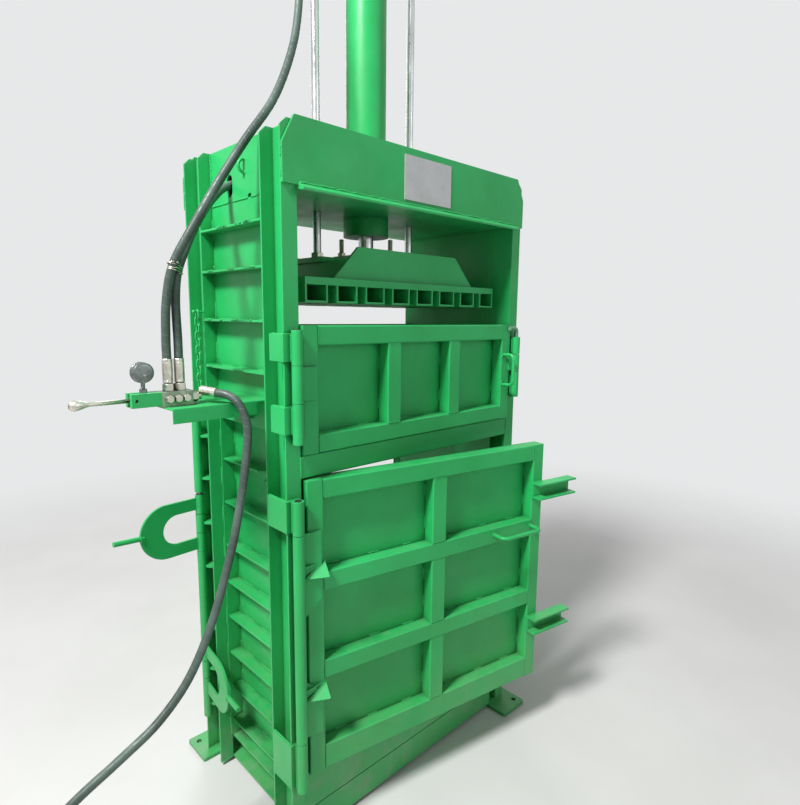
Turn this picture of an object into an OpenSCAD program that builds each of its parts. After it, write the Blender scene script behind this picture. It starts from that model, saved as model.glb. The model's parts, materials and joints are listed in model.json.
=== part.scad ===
// Recycling baler: a vertical press with one hydraulic ram, a feed door above
// and a bale door below, front and rear. Millimetres, +Z up. The origin lies on
// the floor, in the middle of the four columns.

/* [Overall] */
// Width over the columns
frame_width = 1000; // [800:10:1400]
// Depth over the columns
frame_depth = 540; // [500:10:800]
// Height of the column tops
frame_height = 2000; // [1900:10:2300]

/* [Columns] */
// Column channel, measured along the depth
column_face = 100; // [80:5:140]
// Column channel, measured along the width
column_flange = 45; // [40:5:60]
// Column wall thickness
column_wall = 6; // [4:1:10]

/* [Base] */
// Height of the top of the base channels
base_top = 100; // [80:5:140]
// Side of a square foot plate
foot_side = 126; // [110:2:160]
// Foot plate thickness
foot_thick = 12; // [8:1:20]
// How far the foot bolts stand outside the columns, along the width
bolt_out_x = 10; // [5:1:20]
// How far the foot bolts stand outside the columns, along the depth
bolt_out_y = 50; // [40:1:60]
// Foot bolt hole diameter
bolt_hole = 18; // [12:1:26]

/* [Chamber] */
// How far the chamber side plates stand inside the column webs
wall_inset = 45; // [30:5:80]
// Height of the chamber floor
floor_top = 222; // [200:2:300]
// Height of the step where the lower side wall ends
chamber_step = 1228; // [1100:2:1400]
// Wall plate thickness
wall_plate = 5; // [3:1:8]
// Rib and strip thickness
rib_thick = 6; // [4:1:10]
// Heights of the ribs on the lower side wall
lower_rib_z = [155, 280, 402, 532, 654, 780, 928, 1072];
// Heights of the ribs on the upper side wall
upper_rib_z = [1372, 1511, 1652, 1770];

/* [Doors] */
// Gap between a door and the columns beside it
door_side_gap = 4; // [3:1:8]
// Depth of the door bars
door_bar = 44; // [36:1:50]
// Back plate thickness of a door
door_skin = 4; // [3:1:6]
// How far a closed door stands proud of the columns
door_proud = 10; // [6:1:14]
// Width of the stiles at the two door ends
stile_width = 50; // [40:1:60]
// Height of the rails of a bale door
rail = 55; // [45:1:65]
// Height of its lowest rail
foot_rail = 75; // [60:1:90]
// Bottom of the bale door
bale_door_bottom = 226; // [224:1:240]
// Top of the bale door
bale_door_top = 1095; // [1000:5:1095]
// Angle by which the front bale door stands ajar
ajar_angle = 10.5; // [0:0.5:170]
// Angle by which the rear bale door stands open
rear_open_angle = 150; // [0:1:165]
// Bottom of the feed door
feed_door_bottom = 1165; // [1165:1:1200]
// Top of the feed door
feed_door_top = 1505; // [1450:5:1540]
// Outer diameter of the door hinge pipes
hinge_pipe = 32; // [30:1:40]
// Diameter of the hinge and hasp pins
pin_size = 18; // [12:1:20]

/* [Hasps] */
// Reach of a hasp from its pivot
hasp_reach = 200; // [160:5:240]
// Height of a hasp plate
hasp_height = 174; // [150:2:200]
// Height of the slot in a hasp
hasp_slot = 95; // [80:1:110]
// Hasp plate thickness
hasp_thick = 8; // [6:1:10]
// Outer diameter of the hasp pipes
hasp_pipe = 28; // [26:1:32]
// Length of the lugs past the door edge
lug_reach = 130; // [100:5:135]
// Height of a lug
lug_height = 56; // [40:2:60]

/* [Ram] */
// Outer diameter of the cylinder
cylinder_od = 130; // [110:2:160]
// Wall thickness of the cylinder
cylinder_wall = 10; // [8:1:14]
// Piston rod diameter
rod_size = 50; // [40:1:70]
// Height of the cylinder's top over the column tops
cylinder_rise = 1010; // [900:10:1300]
// Guide rod diameter
guide_size = 25; // [20:1:32]
// Guide rod distance from the middle
guide_offset = 200; // [160:5:240]
// Underside of the platen at rest, below the cross-head
platen_drop = 283; // [270:1:310]
// Height of the channels under the platen
platen_channel_height = 48; // [40:1:60]
// Gap for a strap between two channels
strap_gap = 30; // [20:1:40]

/* [Beam] */
// Underside of the cross-head, below the column tops
beam_drop = 152; // [140:2:180]
// Height of the cross-head face plates
beam_height = 162; // [140:2:200]
// Face plate thickness
beam_plate = 8; // [6:1:12]
// Deck plate thickness under the cylinder
deck_thick = 20; // [12:1:30]

/* [Hoses] */
// Outer diameter of the hoses
hose_size = 22; // [16:1:28]
// Diameter across the middle of the coiled turns
coil_across = 250; // [220:5:280]

/* [Hidden] */
$fn = 48;

// Fits and clearances
pin_clear = 0.1;
slide_clear = 0.3;
seat_clear = 0.05;
door_inner_gap = 2;
wall_clear = 5;

// Derived positions of the frame
half_w = frame_width / 2;
half_d = frame_depth / 2;
web_x = half_w - column_flange;
chamber_x = web_x - wall_inset;
chamber_width = 2 * chamber_x;
wall_out = chamber_x + wall_plate;
inner_y = half_d - column_face;
door_depth = door_bar + door_skin;
door_front = half_d + door_proud;
door_back = door_front - door_depth;
cross_back = door_back - door_inner_gap;
door_half = web_x - door_side_gap;
channel_h = base_top - foot_thick;
floor_plate_z = floor_top - platen_channel_height;
beam_bottom = frame_height - beam_drop;
beam_top = beam_bottom + beam_height;
deck_top = beam_bottom + deck_thick;

// Derived positions of the ram
platen_bottom = beam_bottom - platen_drop;
platen_half_x = chamber_x - wall_clear;
platen_pitch = (2 * platen_half_x + strap_gap) / 8;
platen_channel_width = platen_pitch - strap_gap;
platen_half_y = cross_back - door_inner_gap;
platen_z = platen_bottom + platen_channel_height;
platen_top = platen_z + 20;
head_z = platen_top + 57;
head_top = head_z + 15;
flange_top = head_top + 22;
gland_z = beam_bottom - 58;
barrel_z = beam_bottom - 42;
cylinder_bore = cylinder_od - 2 * cylinder_wall;
collar_od = cylinder_od + 20;
flange_od = cylinder_od + 110;
cylinder_top = frame_height + cylinder_rise;
cap_z = cylinder_top - 50;
piston_z = cap_z - 90;
port_z = beam_bottom + 77;

// Hinges: the axis of each stands off the column corner
hinge_x = half_w - 20;
hinge_y = half_d + 22;
feed_hinge_x = half_w - 26;
feed_hinge_y = half_d + 20;
latch_x = half_w - 28;
latch_y = half_d + 20;
hasp_x = half_w + 7;
hasp_y = half_d - 30;
lower_hasp_z = 335;
upper_hasp_z = 854;
front_upper_z = 935;
front_lower_z = 435;

// Hose routes, in round numbers
cap_route = [[-715, -70, 1420], [-715, -70, 1470], [-712, -76, 1560], [-698, -94, 1650], [-650, -118, 1750],
    [-590, -122, 1850], [-508, -120, 1972], [-420, -112, 2090], [-350, -85, 2215], [-300, -55, 2340],
    [-270, -30, 2500], [-262, -15, 2660], [-275, -5, 2800], [-290, 0, 2895], [-278, 0, 2940],
    [-245, 0, 2973], [-200, 0, 2985], [-150, 0, 2985], [-122, 0, 2985]];
rod_route = [[-685, -70, 1420], [-685, -70, 1470], [-687, -72, 1560], [-682, -78, 1630], [-658, -74, 1690],
    [-620, -46, 1748], [-575, -8, 1800], [-528, 28, 1846], [-480, 52, 1885], [-420, 66, 1910],
    [-340, 84, 1922], [-260, 96, 1925], [-200, 98, 1925], [-150, 86, 1925], [-120, 69, 1925]];
supply_route = [[-606, -110, 1328], [-590, -138, 1324], [-575, -164, 1306], [-565, -180, 1270], [-562, -188, 1220],
    [-575, -186, 1110], [-595, -182, 1000], [-622, -178, 890], [-672, -175, 740], [-738, -172, 610],
    [-820, -170, 525], [-914, -165, 470], [-1020, -155, 410], [-1120, -140, 325], [-1210, -120, 220],
    [-1290, -100, 120], [-1360, -82, 50], [-1410, -72, 18], [-1440, -66, 11]];
coil_centre = [-1480, 60, 0];

// A flat bar or box section with small chamfered long edges, lying along X
module bar_x(x0, x1, y0, y1, z0, z1, c = 3) {
    translate([x0, 0, 0])
        rotate([90, 0, 90])
            linear_extrude(x1 - x0)
                polygon([[y0 + c, z0], [y1 - c, z0], [y1, z0 + c], [y1, z1 - c],
                    [y1 - c, z1], [y0 + c, z1], [y0, z1 - c], [y0, z0 + c]]);
}

// The same bar, standing along Z
module bar_z(x0, x1, y0, y1, z0, z1, c = 3) {
    translate([0, 0, z0])
        linear_extrude(z1 - z0)
            polygon([[x0 + c, y0], [x1 - c, y0], [x1, y0 + c], [x1, y1 - c],
                [x1 - c, y1], [x0 + c, y1], [x0, y1 - c], [x0, y0 + c]]);
}

// A box given by its two corners
module block(a, b) {
    translate(a)
        cube([b[0] - a[0], b[1] - a[1], b[2] - a[2]]);
}

// A channel of width w along X, depth d along +Y from its web, standing along Z
module channel(w, d, t, len) {
    linear_extrude(len)
        difference() {
            translate([-w / 2, 0])
                square([w, d]);
            translate([-w / 2 + t, t])
                square([w - 2 * t, d]);
        }
}

// Mirror images for s = -1, the part itself for s = 1
module flip_x(s) {
    if (s < 0)
        mirror([1, 0, 0])
            children();
    else
        children();
}

module flip_y(s) {
    if (s < 0)
        mirror([0, 1, 0])
            children();
    else
        children();
}

module flip_z(s) {
    if (s < 0)
        mirror([0, 0, 1])
            children();
    else
        children();
}

// Repeats its children at the four corners, each turned the right way round
module four_corners() {
    for (sx = [-1, 1])
        for (sy = [-1, 1])
            flip_x(sx)
                flip_y(sy)
                    children();
}

// A hexagon nut or bolt head of height h
module hex(across, h) {
    cylinder(d = across / cos(30), h = h, $fn = 6);
}

// A pull handle of bent round rod: feet at +-span/2 along X, standing out along -Y
module pull_handle(span, reach, d) {
    r = d * 1.5;
    for (s = [-1, 1])
        flip_x(s) {
            translate([span / 2, 0, 0])
                rotate([90, 0, 0])
                    cylinder(d = d, h = reach - r, $fn = 24);
            translate([span / 2 - r, -reach + r, 0])
                rotate([0, 0, -90])
                    rotate_extrude(angle = 90, $fn = 24)
                        translate([r, 0])
                            circle(d = d, $fn = 24);
        }
    translate([-span / 2 + r, -reach, 0])
        rotate([0, 90, 0])
            cylinder(d = d, h = span - 2 * r, $fn = 24);
}

// The mirrored half turned to the rear: the rear doors repeat the front ones
module rear_side() {
    rotate([0, 0, 180])
        children();
}

// Frame

module column() {
    intersection() {
        translate([web_x, half_d - column_face / 2, foot_thick])
            rotate([0, 0, -90])
                channel(column_face, column_flange, column_wall, frame_height - foot_thick);
        translate([0, half_d, 0])
            rotate([90, 0, 0])
                linear_extrude(column_face)
                    polygon([[web_x, 0], [half_w, 0], [half_w, frame_height - 18],
                        [half_w - 18, frame_height], [web_x, frame_height]]);
    }
}

module columns() {
    color("seagreen")
        four_corners()
            column();
}

module base_frame() {
    color("seagreen") {
        // Side channels, open to the outside, between the column webs
        for (s = [-1, 1])
            flip_x(s)
                translate([chamber_x, 0, foot_thick])
                    rotate([90, 0, 0])
                        translate([0, 0, -half_d])
                            linear_extrude(frame_depth)
                                difference() {
                                    square([web_x - chamber_x, channel_h]);
                                    translate([column_wall, column_wall])
                                        square([web_x - chamber_x, channel_h - 2 * column_wall]);
                                }
        // End channels under the sills, open towards the middle
        for (s = [-1, 1])
            flip_y(s)
                translate([-chamber_x, half_d, foot_thick])
                    rotate([90, 0, 90])
                        linear_extrude(chamber_width)
                            difference() {
                                translate([-45, 0])
                                    square([45, channel_h]);
                                translate([-45 - column_wall, column_wall])
                                    square([45, channel_h - 2 * column_wall]);
                            }
        // Bearers that carry the chamber floor
        for (i = [-2 : 2])
            translate([-chamber_x, i * 88, base_top])
                rotate([90, 0, 90])
                    linear_extrude(chamber_width)
                        difference() {
                            translate([-22, 0])
                                square([44, floor_plate_z - 6 - base_top]);
                            translate([-22 + column_wall, column_wall])
                                square([44, floor_plate_z - 6 - base_top - 2 * column_wall]);
                        }
    }
}

module foot_plates() {
    color("seagreen")
        four_corners()
            difference() {
                bar_z(half_w + 36 - foot_side, half_w + 36, half_d + bolt_out_y + 31 - foot_side,
                    half_d + bolt_out_y + 31, 0, foot_thick, 4);
                translate([half_w + bolt_out_x, half_d + bolt_out_y, -1])
                    cylinder(d = bolt_hole, h = foot_thick + 2);
            }
}

module floor_plate() {
    color("seagreen")
        block([-chamber_x, -cross_back, floor_plate_z - 6], [chamber_x, cross_back, floor_plate_z]);
}

// One of the channels under the platen and on the floor, open side at z = 0
module strap_channel(len) {
    translate([0, len / 2, 0])
        rotate([90, 0, 0])
            linear_extrude(len)
                difference() {
                    translate([-platen_channel_width / 2, 0])
                        square([platen_channel_width, platen_channel_height]);
                    translate([-platen_channel_width / 2 + 6, -6])
                        square([platen_channel_width - 12, platen_channel_height]);
                }
}

module strap_row(len) {
    for (i = [0 : 7])
        translate([(i - 3.5) * platen_pitch, 0, 0])
            strap_channel(len);
}

module floor_channels() {
    color("seagreen")
        translate([0, 0, floor_plate_z])
            strap_row(2 * cross_back);
}

module chamber_side_plates() {
    color("mediumseagreen")
        for (s = [-1, 1])
            flip_x(s)
                block([chamber_x, -cross_back, base_top], [wall_out, cross_back, chamber_step - rib_thick]);
}

module upper_side_plates() {
    color("mediumseagreen")
        for (s = [-1, 1])
            flip_x(s)
                block([web_x, -inner_y, chamber_step - 18], [web_x + column_wall, inner_y, beam_bottom]);
}

// Ribs, corner strips and the step of one side wall, for the +X side
module side_ribs() {
    // Ledge on top of the lower wall
    block([chamber_x, -cross_back, chamber_step - rib_thick], [web_x, cross_back, chamber_step]);
    // Strips that close the corner between wall and column
    for (s = [-1, 1])
        flip_y(s)
            block([wall_out, inner_y - rib_thick, base_top],
                [web_x + column_wall, inner_y, chamber_step - 18]);
    for (z = lower_rib_z)
        if (z < lower_rib_z[7])
            block([wall_out, -inner_y + rib_thick, z], [web_x, inner_y - rib_thick, z + rib_thick]);
    // The top rib of the lower wall stops short, with a slanted end
    translate([0, 0, lower_rib_z[7]])
        linear_extrude(rib_thick)
            polygon([[wall_out, -80], [web_x, -48], [web_x, inner_y - rib_thick], [wall_out, inner_y - rib_thick]]);
    translate([wall_out, -60, lower_rib_z[7]])
        rotate([0, 90, 0])
            linear_extrude(rib_thick)
                polygon([[0, 0], [0, 40], [40, 40]]);
    for (z = upper_rib_z)
        block([web_x + column_wall, -inner_y, z], [half_w, inner_y, z + rib_thick]);
}

module ribs_left() {
    color("lightgreen")
        mirror([1, 0, 0])
            side_ribs();
}

module ribs_right() {
    color("lightgreen")
        side_ribs();
}

module door_cross_bars() {
    color("seagreen")
        for (s = [-1, 1])
            flip_y(s) {
                bar_x(-web_x, web_x, cross_back, half_d, base_top, floor_top);
                bar_x(-web_x, web_x, cross_back, half_d, bale_door_top + 4, feed_door_bottom - 2);
            }
}

module rear_upper_panel() {
    panel_top = feed_door_top - 5;
    color("seagreen") {
        block([-web_x, cross_back, feed_door_bottom - 2], [web_x, cross_back + wall_plate, panel_top]);
        bar_x(-web_x, web_x, cross_back + wall_plate, half_d, panel_top - 40, panel_top);
        for (x = [-web_x + 25, -110, 110, web_x - 25])
            bar_z(x - 25, x + 25, cross_back + wall_plate, half_d, feed_door_bottom - 2, panel_top - 40);
    }
}

// Cross-head

module beam_outline(corner) {
    polygon([[-half_w, beam_bottom], [half_w, beam_bottom], [half_w, beam_top - corner * 1.9],
        [half_w - corner, beam_top], [-half_w + corner, beam_top], [-half_w, beam_top - corner * 1.9]]);
}

module beam_face_plates() {
    color("seagreen") {
        for (s = [-1, 1])
            flip_y(s)
                translate([0, half_d + beam_plate, 0])
                    rotate([90, 0, 0])
                        linear_extrude(beam_plate)
                            beam_outline(36);
        // Folded lip along the foot of the front plate
        translate([-web_x, 0, 0])
            rotate([90, 0, 90])
                linear_extrude(2 * web_x)
                    polygon([[-half_d - beam_plate, beam_bottom - 10], [-half_d - beam_plate, beam_bottom + 6],
                        [-half_d - beam_plate - 22, beam_bottom - 8], [-half_d - beam_plate - 22, beam_bottom - 14],
                        [-half_d - beam_plate - 18, beam_bottom - 14]]);
    }
}

module beam_side_plates() {
    color("lightgreen")
        for (s = [-1, 1])
            flip_x(s) {
                difference() {
                    block([web_x, -inner_y, beam_bottom], [web_x + column_wall, inner_y, frame_height]);
                    // Oblong passage for the hose to the lower end of the cylinder
                    for (z = [beam_bottom + 30, beam_bottom + 60])
                        translate([web_x - 1, 57, z])
                            rotate([0, 90, 0])
                                cylinder(r = 15, h = column_wall + 2);
                    block([web_x - 1, 42, beam_bottom + 30], [web_x + column_wall + 1, 72, beam_bottom + 60]);
                    // Notch in the lower edge
                    block([web_x - 1, -60, beam_bottom - 1], [web_x + column_wall + 1, -44, beam_bottom + 10]);
                }
                // Welded eye of bent rod
                translate([web_x + column_wall, -28, beam_bottom + 85])
                    rotate([90, 0, 0])
                        rotate([0, 0, -90])
                            rotate_extrude(angle = 180, $fn = 24)
                                translate([18, 0])
                                    circle(d = 8, $fn = 16);
            }
}

module beam_deck_plates() {
    color("seagreen") {
        difference() {
            block([-web_x, -half_d, beam_bottom], [web_x, half_d, deck_top]);
            translate([0, 0, beam_bottom - 1])
                cylinder(d = cylinder_od + 1, h = deck_thick + 2);
            for (s = [-1, 1])
                translate([s * guide_offset, 0, beam_bottom - 1])
                    cylinder(d = guide_size + 4, h = deck_thick + 2);
        }
        difference() {
            block([-web_x, -half_d, frame_height - 10], [web_x, half_d, frame_height]);
            translate([0, 0, frame_height - 11])
                cylinder(d = cylinder_od + 1, h = 12);
            for (s = [-1, 1])
                translate([s * guide_offset, 0, frame_height - 11])
                    cylinder(d = 46, h = 12);
        }
    }
}

module beam_webs() {
    color("seagreen")
        for (s = [-1, 1])
            flip_y(s)
                block([-web_x, half_d - 126, deck_top], [web_x, half_d - 114, frame_height - 10]);
}

module label_plate() {
    color("white")
        block([-92, -half_d - beam_plate - 2, beam_bottom + 17], [108, -half_d - beam_plate, beam_top - 20]);
}

module guide_bushes() {
    color("seagreen")
        for (s = [-1, 1])
            translate([s * guide_offset, 0, deck_top])
                difference() {
                    union() {
                        cylinder(d = 45, h = frame_height + 100 - deck_top);
                        translate([0, 0, frame_height + 92 - deck_top])
                            bar_z(-45, 45, -25, 25, 0, 12, 4);
                    }
                    translate([0, 0, -1])
                        cylinder(d = guide_size + 2 * slide_clear, h = beam_drop + 148);
                }
}

module cylinder_barrel() {
    color("limegreen")
        difference() {
            union() {
                translate([0, 0, barrel_z])
                    cylinder(d = cylinder_od, h = cap_z - barrel_z, $fn = 64);
                // Mounting flange on the deck
                translate([0, 0, deck_top])
                    cylinder(d = flange_od, h = 22, $fn = 64);
                // Port boss for the lower hose
                translate([0, 0, port_z])
                    rotate([0, 0, 150])
                        rotate([0, 90, 0])
                            cylinder(d = 36, h = 95);
            }
            translate([0, 0, barrel_z - 1])
                cylinder(d = cylinder_bore, h = cap_z - barrel_z + 2, $fn = 64);
            translate([0, 0, port_z])
                rotate([0, 0, 150])
                    rotate([0, 90, 0])
                        cylinder(d = 14, h = 96);
        }
}

module cylinder_gland() {
    color("limegreen")
        difference() {
            union() {
                translate([0, 0, gland_z])
                    cylinder(d = collar_od, h = barrel_z - gland_z, $fn = 64);
                difference() {
                    translate([0, 0, barrel_z])
                        cylinder(d = collar_od, h = beam_bottom - barrel_z, $fn = 64);
                    translate([0, 0, barrel_z - 1])
                        cylinder(d = cylinder_od + 2 * seat_clear, h = 60, $fn = 64);
                }
                translate([0, 0, barrel_z])
                    cylinder(d = cylinder_bore - 2 * seat_clear, h = 40, $fn = 64);
            }
            translate([0, 0, gland_z - 1])
                cylinder(d = rod_size + 2 * slide_clear, h = 70);
        }
}

module cylinder_cap() {
    color("limegreen")
        difference() {
            union() {
                translate([0, 0, cap_z])
                    cylinder(d = collar_od, h = cylinder_top - cap_z, $fn = 64);
                // Port boss for the upper hose
                translate([0, 0, cap_z + 25])
                    rotate([0, -90, 0])
                        cylinder(d = 36, h = 92);
            }
            translate([-93, 0, cap_z + 25])
                rotate([0, 90, 0])
                    cylinder(d = 14, h = 80);
        }
}

module frame_bolts() {
    color("silver") {
        // Flange bolts of the cylinder
        for (a = [30 : 60 : 330])
            rotate([0, 0, a])
                translate([cylinder_od / 2 + 35, 0, deck_top + 22])
                    hex(24, 10);
        // Bolts of the guide bush plates
        for (s = [-1, 1])
            for (x = [-34, 34])
                translate([s * guide_offset + x, 0, frame_height + 104])
                    hex(17, 8);
    }
}

// Hinges, latch and hasp supports

// A tube from z0 to z1 round an upright axis
module knuckle(x, y, z0, z1, d, bore) {
    translate([x, y, z0])
        difference() {
            cylinder(d = d, h = z1 - z0);
            translate([0, 0, -1])
                cylinder(d = bore, h = z1 - z0 + 2);
        }
}

// Angle plate round the corner of a front column, with a pad that seats a knuckle
module corner_bracket(z0, z1, leg, ax, ay, d) {
    difference() {
        union() {
            block([half_w, -half_d, z0], [half_w + 6, -half_d + leg, z1]);
            block([web_x + 5, -half_d - 6, z0], [half_w + 6, -half_d, z1]);
            block([ax - 12, ay, z0], [ax + 12, -half_d - 6, z1]);
        }
        translate([ax, ay, z0 - 1])
            cylinder(d = d + 2 * seat_clear, h = z1 - z0 + 2);
    }
}

// Gusset inside an open column channel that carries the hasp pipe
module hasp_gusset(z) {
    translate([0, 0, z])
        linear_extrude(8)
            difference() {
                polygon([[web_x + column_wall, inner_y + column_wall], [web_x + column_wall, half_d - column_wall],
                    [hasp_x - 4, half_d - column_wall], [hasp_x, hasp_y], [hasp_x - 10, hasp_y - 20]]);
                translate([hasp_x, hasp_y])
                    circle(d = hasp_pipe + 2 * seat_clear);
            }
}

module knuckle_brackets() {
    color("seagreen") {
        // Bale door hinges, front left and rear right
        for (a = [0, 180])
            rotate([0, 0, a])
                mirror([1, 0, 0]) {
                    corner_bracket(962, 1048, 90, hinge_x, -hinge_y, hinge_pipe);
                    corner_bracket(206, 340, 90, hinge_x, -hinge_y, hinge_pipe);
                }
        // Feed door hinge
        mirror([1, 0, 0]) {
            corner_bracket(1414, 1484, 60, feed_hinge_x, -feed_hinge_y, 30);
            corner_bracket(1226, 1297, 60, feed_hinge_x, -feed_hinge_y, 30);
        }
        // Feed door latch
        corner_bracket(1403, 1457, 40, latch_x, -latch_y, 30);
        corner_bracket(1247, 1332, 40, latch_x, -latch_y, 30);
        // Hasp pipes, rear left and front right
        for (a = [0, 180])
            rotate([0, 0, a])
                mirror([1, 0, 0])
                    for (z = a == 0 ? rear_gussets : front_gussets)
                        hasp_gusset(z);
    }
}

// Fixed lengths of the hasp pipes: z of each end, rear left and then front right
rear_posts = [[960, 1205], [upper_hasp_z - 31, upper_hasp_z + 31], [431, 758],
    [lower_hasp_z - 31, lower_hasp_z + 31], [160, 239]];
front_posts = [[1034, 1205], [front_upper_z - 31, front_upper_z + 31], [534, 836],
    [front_lower_z - 31, front_lower_z + 31], [160, 336]];
rear_gussets = [1140, 1000, upper_hasp_z - 4, 700, 480, lower_hasp_z - 4, 200];
front_gussets = [1160, 1060, front_upper_z - 4, 780, 580, front_lower_z - 4, 260];

module frame_knuckles() {
    bore = pin_size + 2 * seat_clear;
    color("mediumseagreen") {
        for (a = [0, 180])
            rotate([0, 0, a]) {
                knuckle(-hinge_x, -hinge_y, 958, 1050, hinge_pipe, bore);
                knuckle(-hinge_x, -hinge_y, 200, 351, hinge_pipe, bore);
            }
        knuckle(-feed_hinge_x, -feed_hinge_y, 1405, 1494, 30, bore);
        knuckle(-feed_hinge_x, -feed_hinge_y, 1200, 1306, 30, bore);
        knuckle(latch_x, -latch_y, 1400, 1461, 30, 16.6);
        knuckle(latch_x, -latch_y, 1243, 1335, 30, 16.6);
        for (p = rear_posts)
            knuckle(-hasp_x, hasp_y, p[0], p[1], hasp_pipe, bore);
        for (p = front_posts)
            knuckle(hasp_x, -hasp_y, p[0], p[1], hasp_pipe, bore);
    }
}

module hinge_pins() {
    color("dimgray") {
        for (a = [0, 180])
            rotate([0, 0, a]) {
                translate([-hinge_x, -hinge_y, 196])
                    cylinder(d = pin_size, h = 856);
                translate([hasp_x, -hasp_y, 158])
                    cylinder(d = pin_size, h = 1049);
            }
        translate([-feed_hinge_x, -feed_hinge_y, 1198])
            cylinder(d = pin_size, h = 298);
    }
}

// Valve station on the left side

module valve_shelf() {
    color("seagreen") {
        block([-735, -138, 1296], [-web_x - column_wall, 60, 1300]);
        block([-735, -142, 1264], [-half_w - 6, -138, 1300]);
        // Stay below, welded to the side wall
        translate([0, -30, 0])
            rotate([90, 0, 0])
                linear_extrude(6)
                    polygon([[-web_x - column_wall, 1296], [-680, 1296], [-web_x - column_wall, 1232]]);
    }
}

module valve_body() {
    color("darkseagreen") {
        // Main body, turned from bar, with square ends on the shelf
        block([-740, -92, 1300], [-660, -48, 1338]);
        // End block with the clevis of the lever
        difference() {
            block([-812, -91, 1304], [-740, -49, 1338]);
            block([-813, -77.3, 1303], [-786, -62.7, 1339]);
            translate([-800, -92, 1321])
                rotate([-90, 0, 0])
                    cylinder(d = 8, h = 44);
        }
    }
}

module valve_fittings() {
    color("silver") {
        // Hose tails that stand on the valve
        for (x = [-715, -685])
            translate([x, -70, 1338]) {
                hex(26, 20);
                translate([0, 0, 20])
                    cylinder(d = 26, h = 62);
            }
        // Hex plugs on the front of the body
        for (x = [-722, -700, -678])
            translate([x, -92, 1320])
                rotate([90, 0, 0])
                    hex(17, 9);
        // Outlet to the supply hose
        translate([-660, -70, 1320])
            rotate([0, 90, 0])
                hex(27, 20);
        translate([-640, -70, 1320])
            rotate([0, 90, 0])
                cylinder(d = 20, h = 10);
        supply_tail();
        // Port fitting of the cap hose
        translate([-92, 0, cap_z + 25])
            rotate([0, -90, 0])
                hex(27, 14);
        translate([-106, 0, cap_z + 25])
            rotate([0, -90, 0])
                cylinder(d = 26, h = 16);
        // Port fitting of the rod hose
        translate([0, 0, port_z])
            rotate([0, 0, 150])
                rotate([0, 90, 0]) {
                    translate([0, 0, 95])
                        hex(27, 14);
                    translate([0, 0, 109])
                        cylinder(d = 26, h = 29.4);
                }
    }
}

// Tail of the supply hose: it lies along the first stretch of the route
module supply_tail() {
    p = supply_route[0];
    q = supply_route[1];
    v = (q - p) / norm(q - p);
    a = atan2(v[1], v[0]);
    e = acos(v[2]);
    translate(p)
        rotate([0, e, a])
            translate([0, 0, -46])
                cylinder(d = 26, h = 46);
}

module pressure_gauge() {
    translate([-777, -70, 0]) {
        color("silver") {
            translate([0, 0, 1338])
                hex(17, 10);
            translate([0, 0, 1348])
                cylinder(d = 10, h = 10);
        }
        color("gray")
            translate([0, 0, 1384])
                rotate([90, 0, 0])
                    difference() {
                        translate([0, 0, -14])
                            cylinder(d = 60, h = 28);
                        translate([0, 0, 11])
                            cylinder(d = 52, h = 4);
                    }
        color("white")
            translate([0, 0, 1384])
                rotate([90, 0, 0])
                    translate([0, 0, 11])
                        cylinder(d = 52, h = 1);
    }
}

// One chain link of round wire, standing, with its middle at the origin
module link(inner, wide, d) {
    for (s = [-1, 1])
        flip_z(s) {
            translate([0, 0, inner / 2 - wide / 2])
                rotate([90, 0, 0])
                    rotate_extrude(angle = 180, $fn = 24)
                        translate([wide / 2 + d / 2, 0])
                            circle(d = d, $fn = 16);
            for (x = [-1, 1])
                translate([x * (wide / 2 + d / 2), 0, 0])
                    cylinder(d = d, h = inner / 2 - wide / 2, $fn = 16);
        }
}

module chain() {
    color("seagreen") {
        for (i = [0 : 10])
            translate([-half_w - 18, half_d - 94, 1530 - i * 21.4])
                rotate([0, 0, i % 2 == 0 ? 90 : 0])
                    link(22, 10, 5);
        // Pin on the column that the chain hangs from
        translate([-half_w, half_d - 97, 1538.4])
            rotate([0, -90, 0])
                cylinder(d = 5.6, h = 30, $fn = 16);
        translate([-half_w - 30, half_d - 97, 1538.4])
            sphere(d = 11, $fn = 24);
    }
}

// Hoses

// Smooth curve through the route's points
function bend(a, b, c, d, t) = 0.5 * (2 * b + (c - a) * t + (2 * a - 5 * b + 4 * c - d) * t * t
    + (3 * b - a - 3 * c + d) * t * t * t);
function curve(p, n) = concat([for (i = [0 : len(p) - 2]) for (j = [0 : n - 1])
    bend(p[max(i - 1, 0)], p[i], p[i + 1], p[min(i + 2, len(p) - 1)], j / n)], [p[len(p) - 1]]);
function unit(v) = v / norm(v);
function heading(c, p, i) = i == 0 ? unit(p[1] - p[0])
    : i == len(c) - 1 ? unit(p[len(p) - 1] - p[len(p) - 2]) : unit(c[i + 1] - c[i - 1]);
function sides(t, i, last) = i == len(t) ? []
    : let (u = unit(last - (last * t[i]) * t[i])) concat([u], sides(t, i + 1, u));

// A round tube swept along a route, n rings to each stretch, m sides
module hose(p, d, n, m) {
    c = curve(p, n);
    t = [for (i = [0 : len(c) - 1]) heading(c, p, i)];
    u = sides(t, 0, [0.31, 0.87, 0.39]);
    k = len(c);
    points = [for (i = [0 : k - 1]) let (w = cross(t[i], u[i])) for (j = [0 : m - 1])
        c[i] + d / 2 * (cos(360 * j / m) * u[i] + sin(360 * j / m) * w)];
    walls = [for (i = [0 : k - 2]) for (j = [0 : m - 1]) let (a = i * m + j, b = i * m + (j + 1) % m)
        each [[a, a + m, b + m], [a, b + m, b]]];
    ends = [[for (j = [0 : m - 1]) j], [for (j = [m - 1 : -1 : 0]) (k - 1) * m + j]];
    polyhedron(points = points, faces = concat(walls, ends), convexity = 10);
}

module cap_hose() {
    color("dimgray")
        hose(cap_route, hose_size, 2, 10);
}

module rod_hose() {
    color("dimgray")
        hose(rod_route, hose_size, 1, 10);
}

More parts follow.
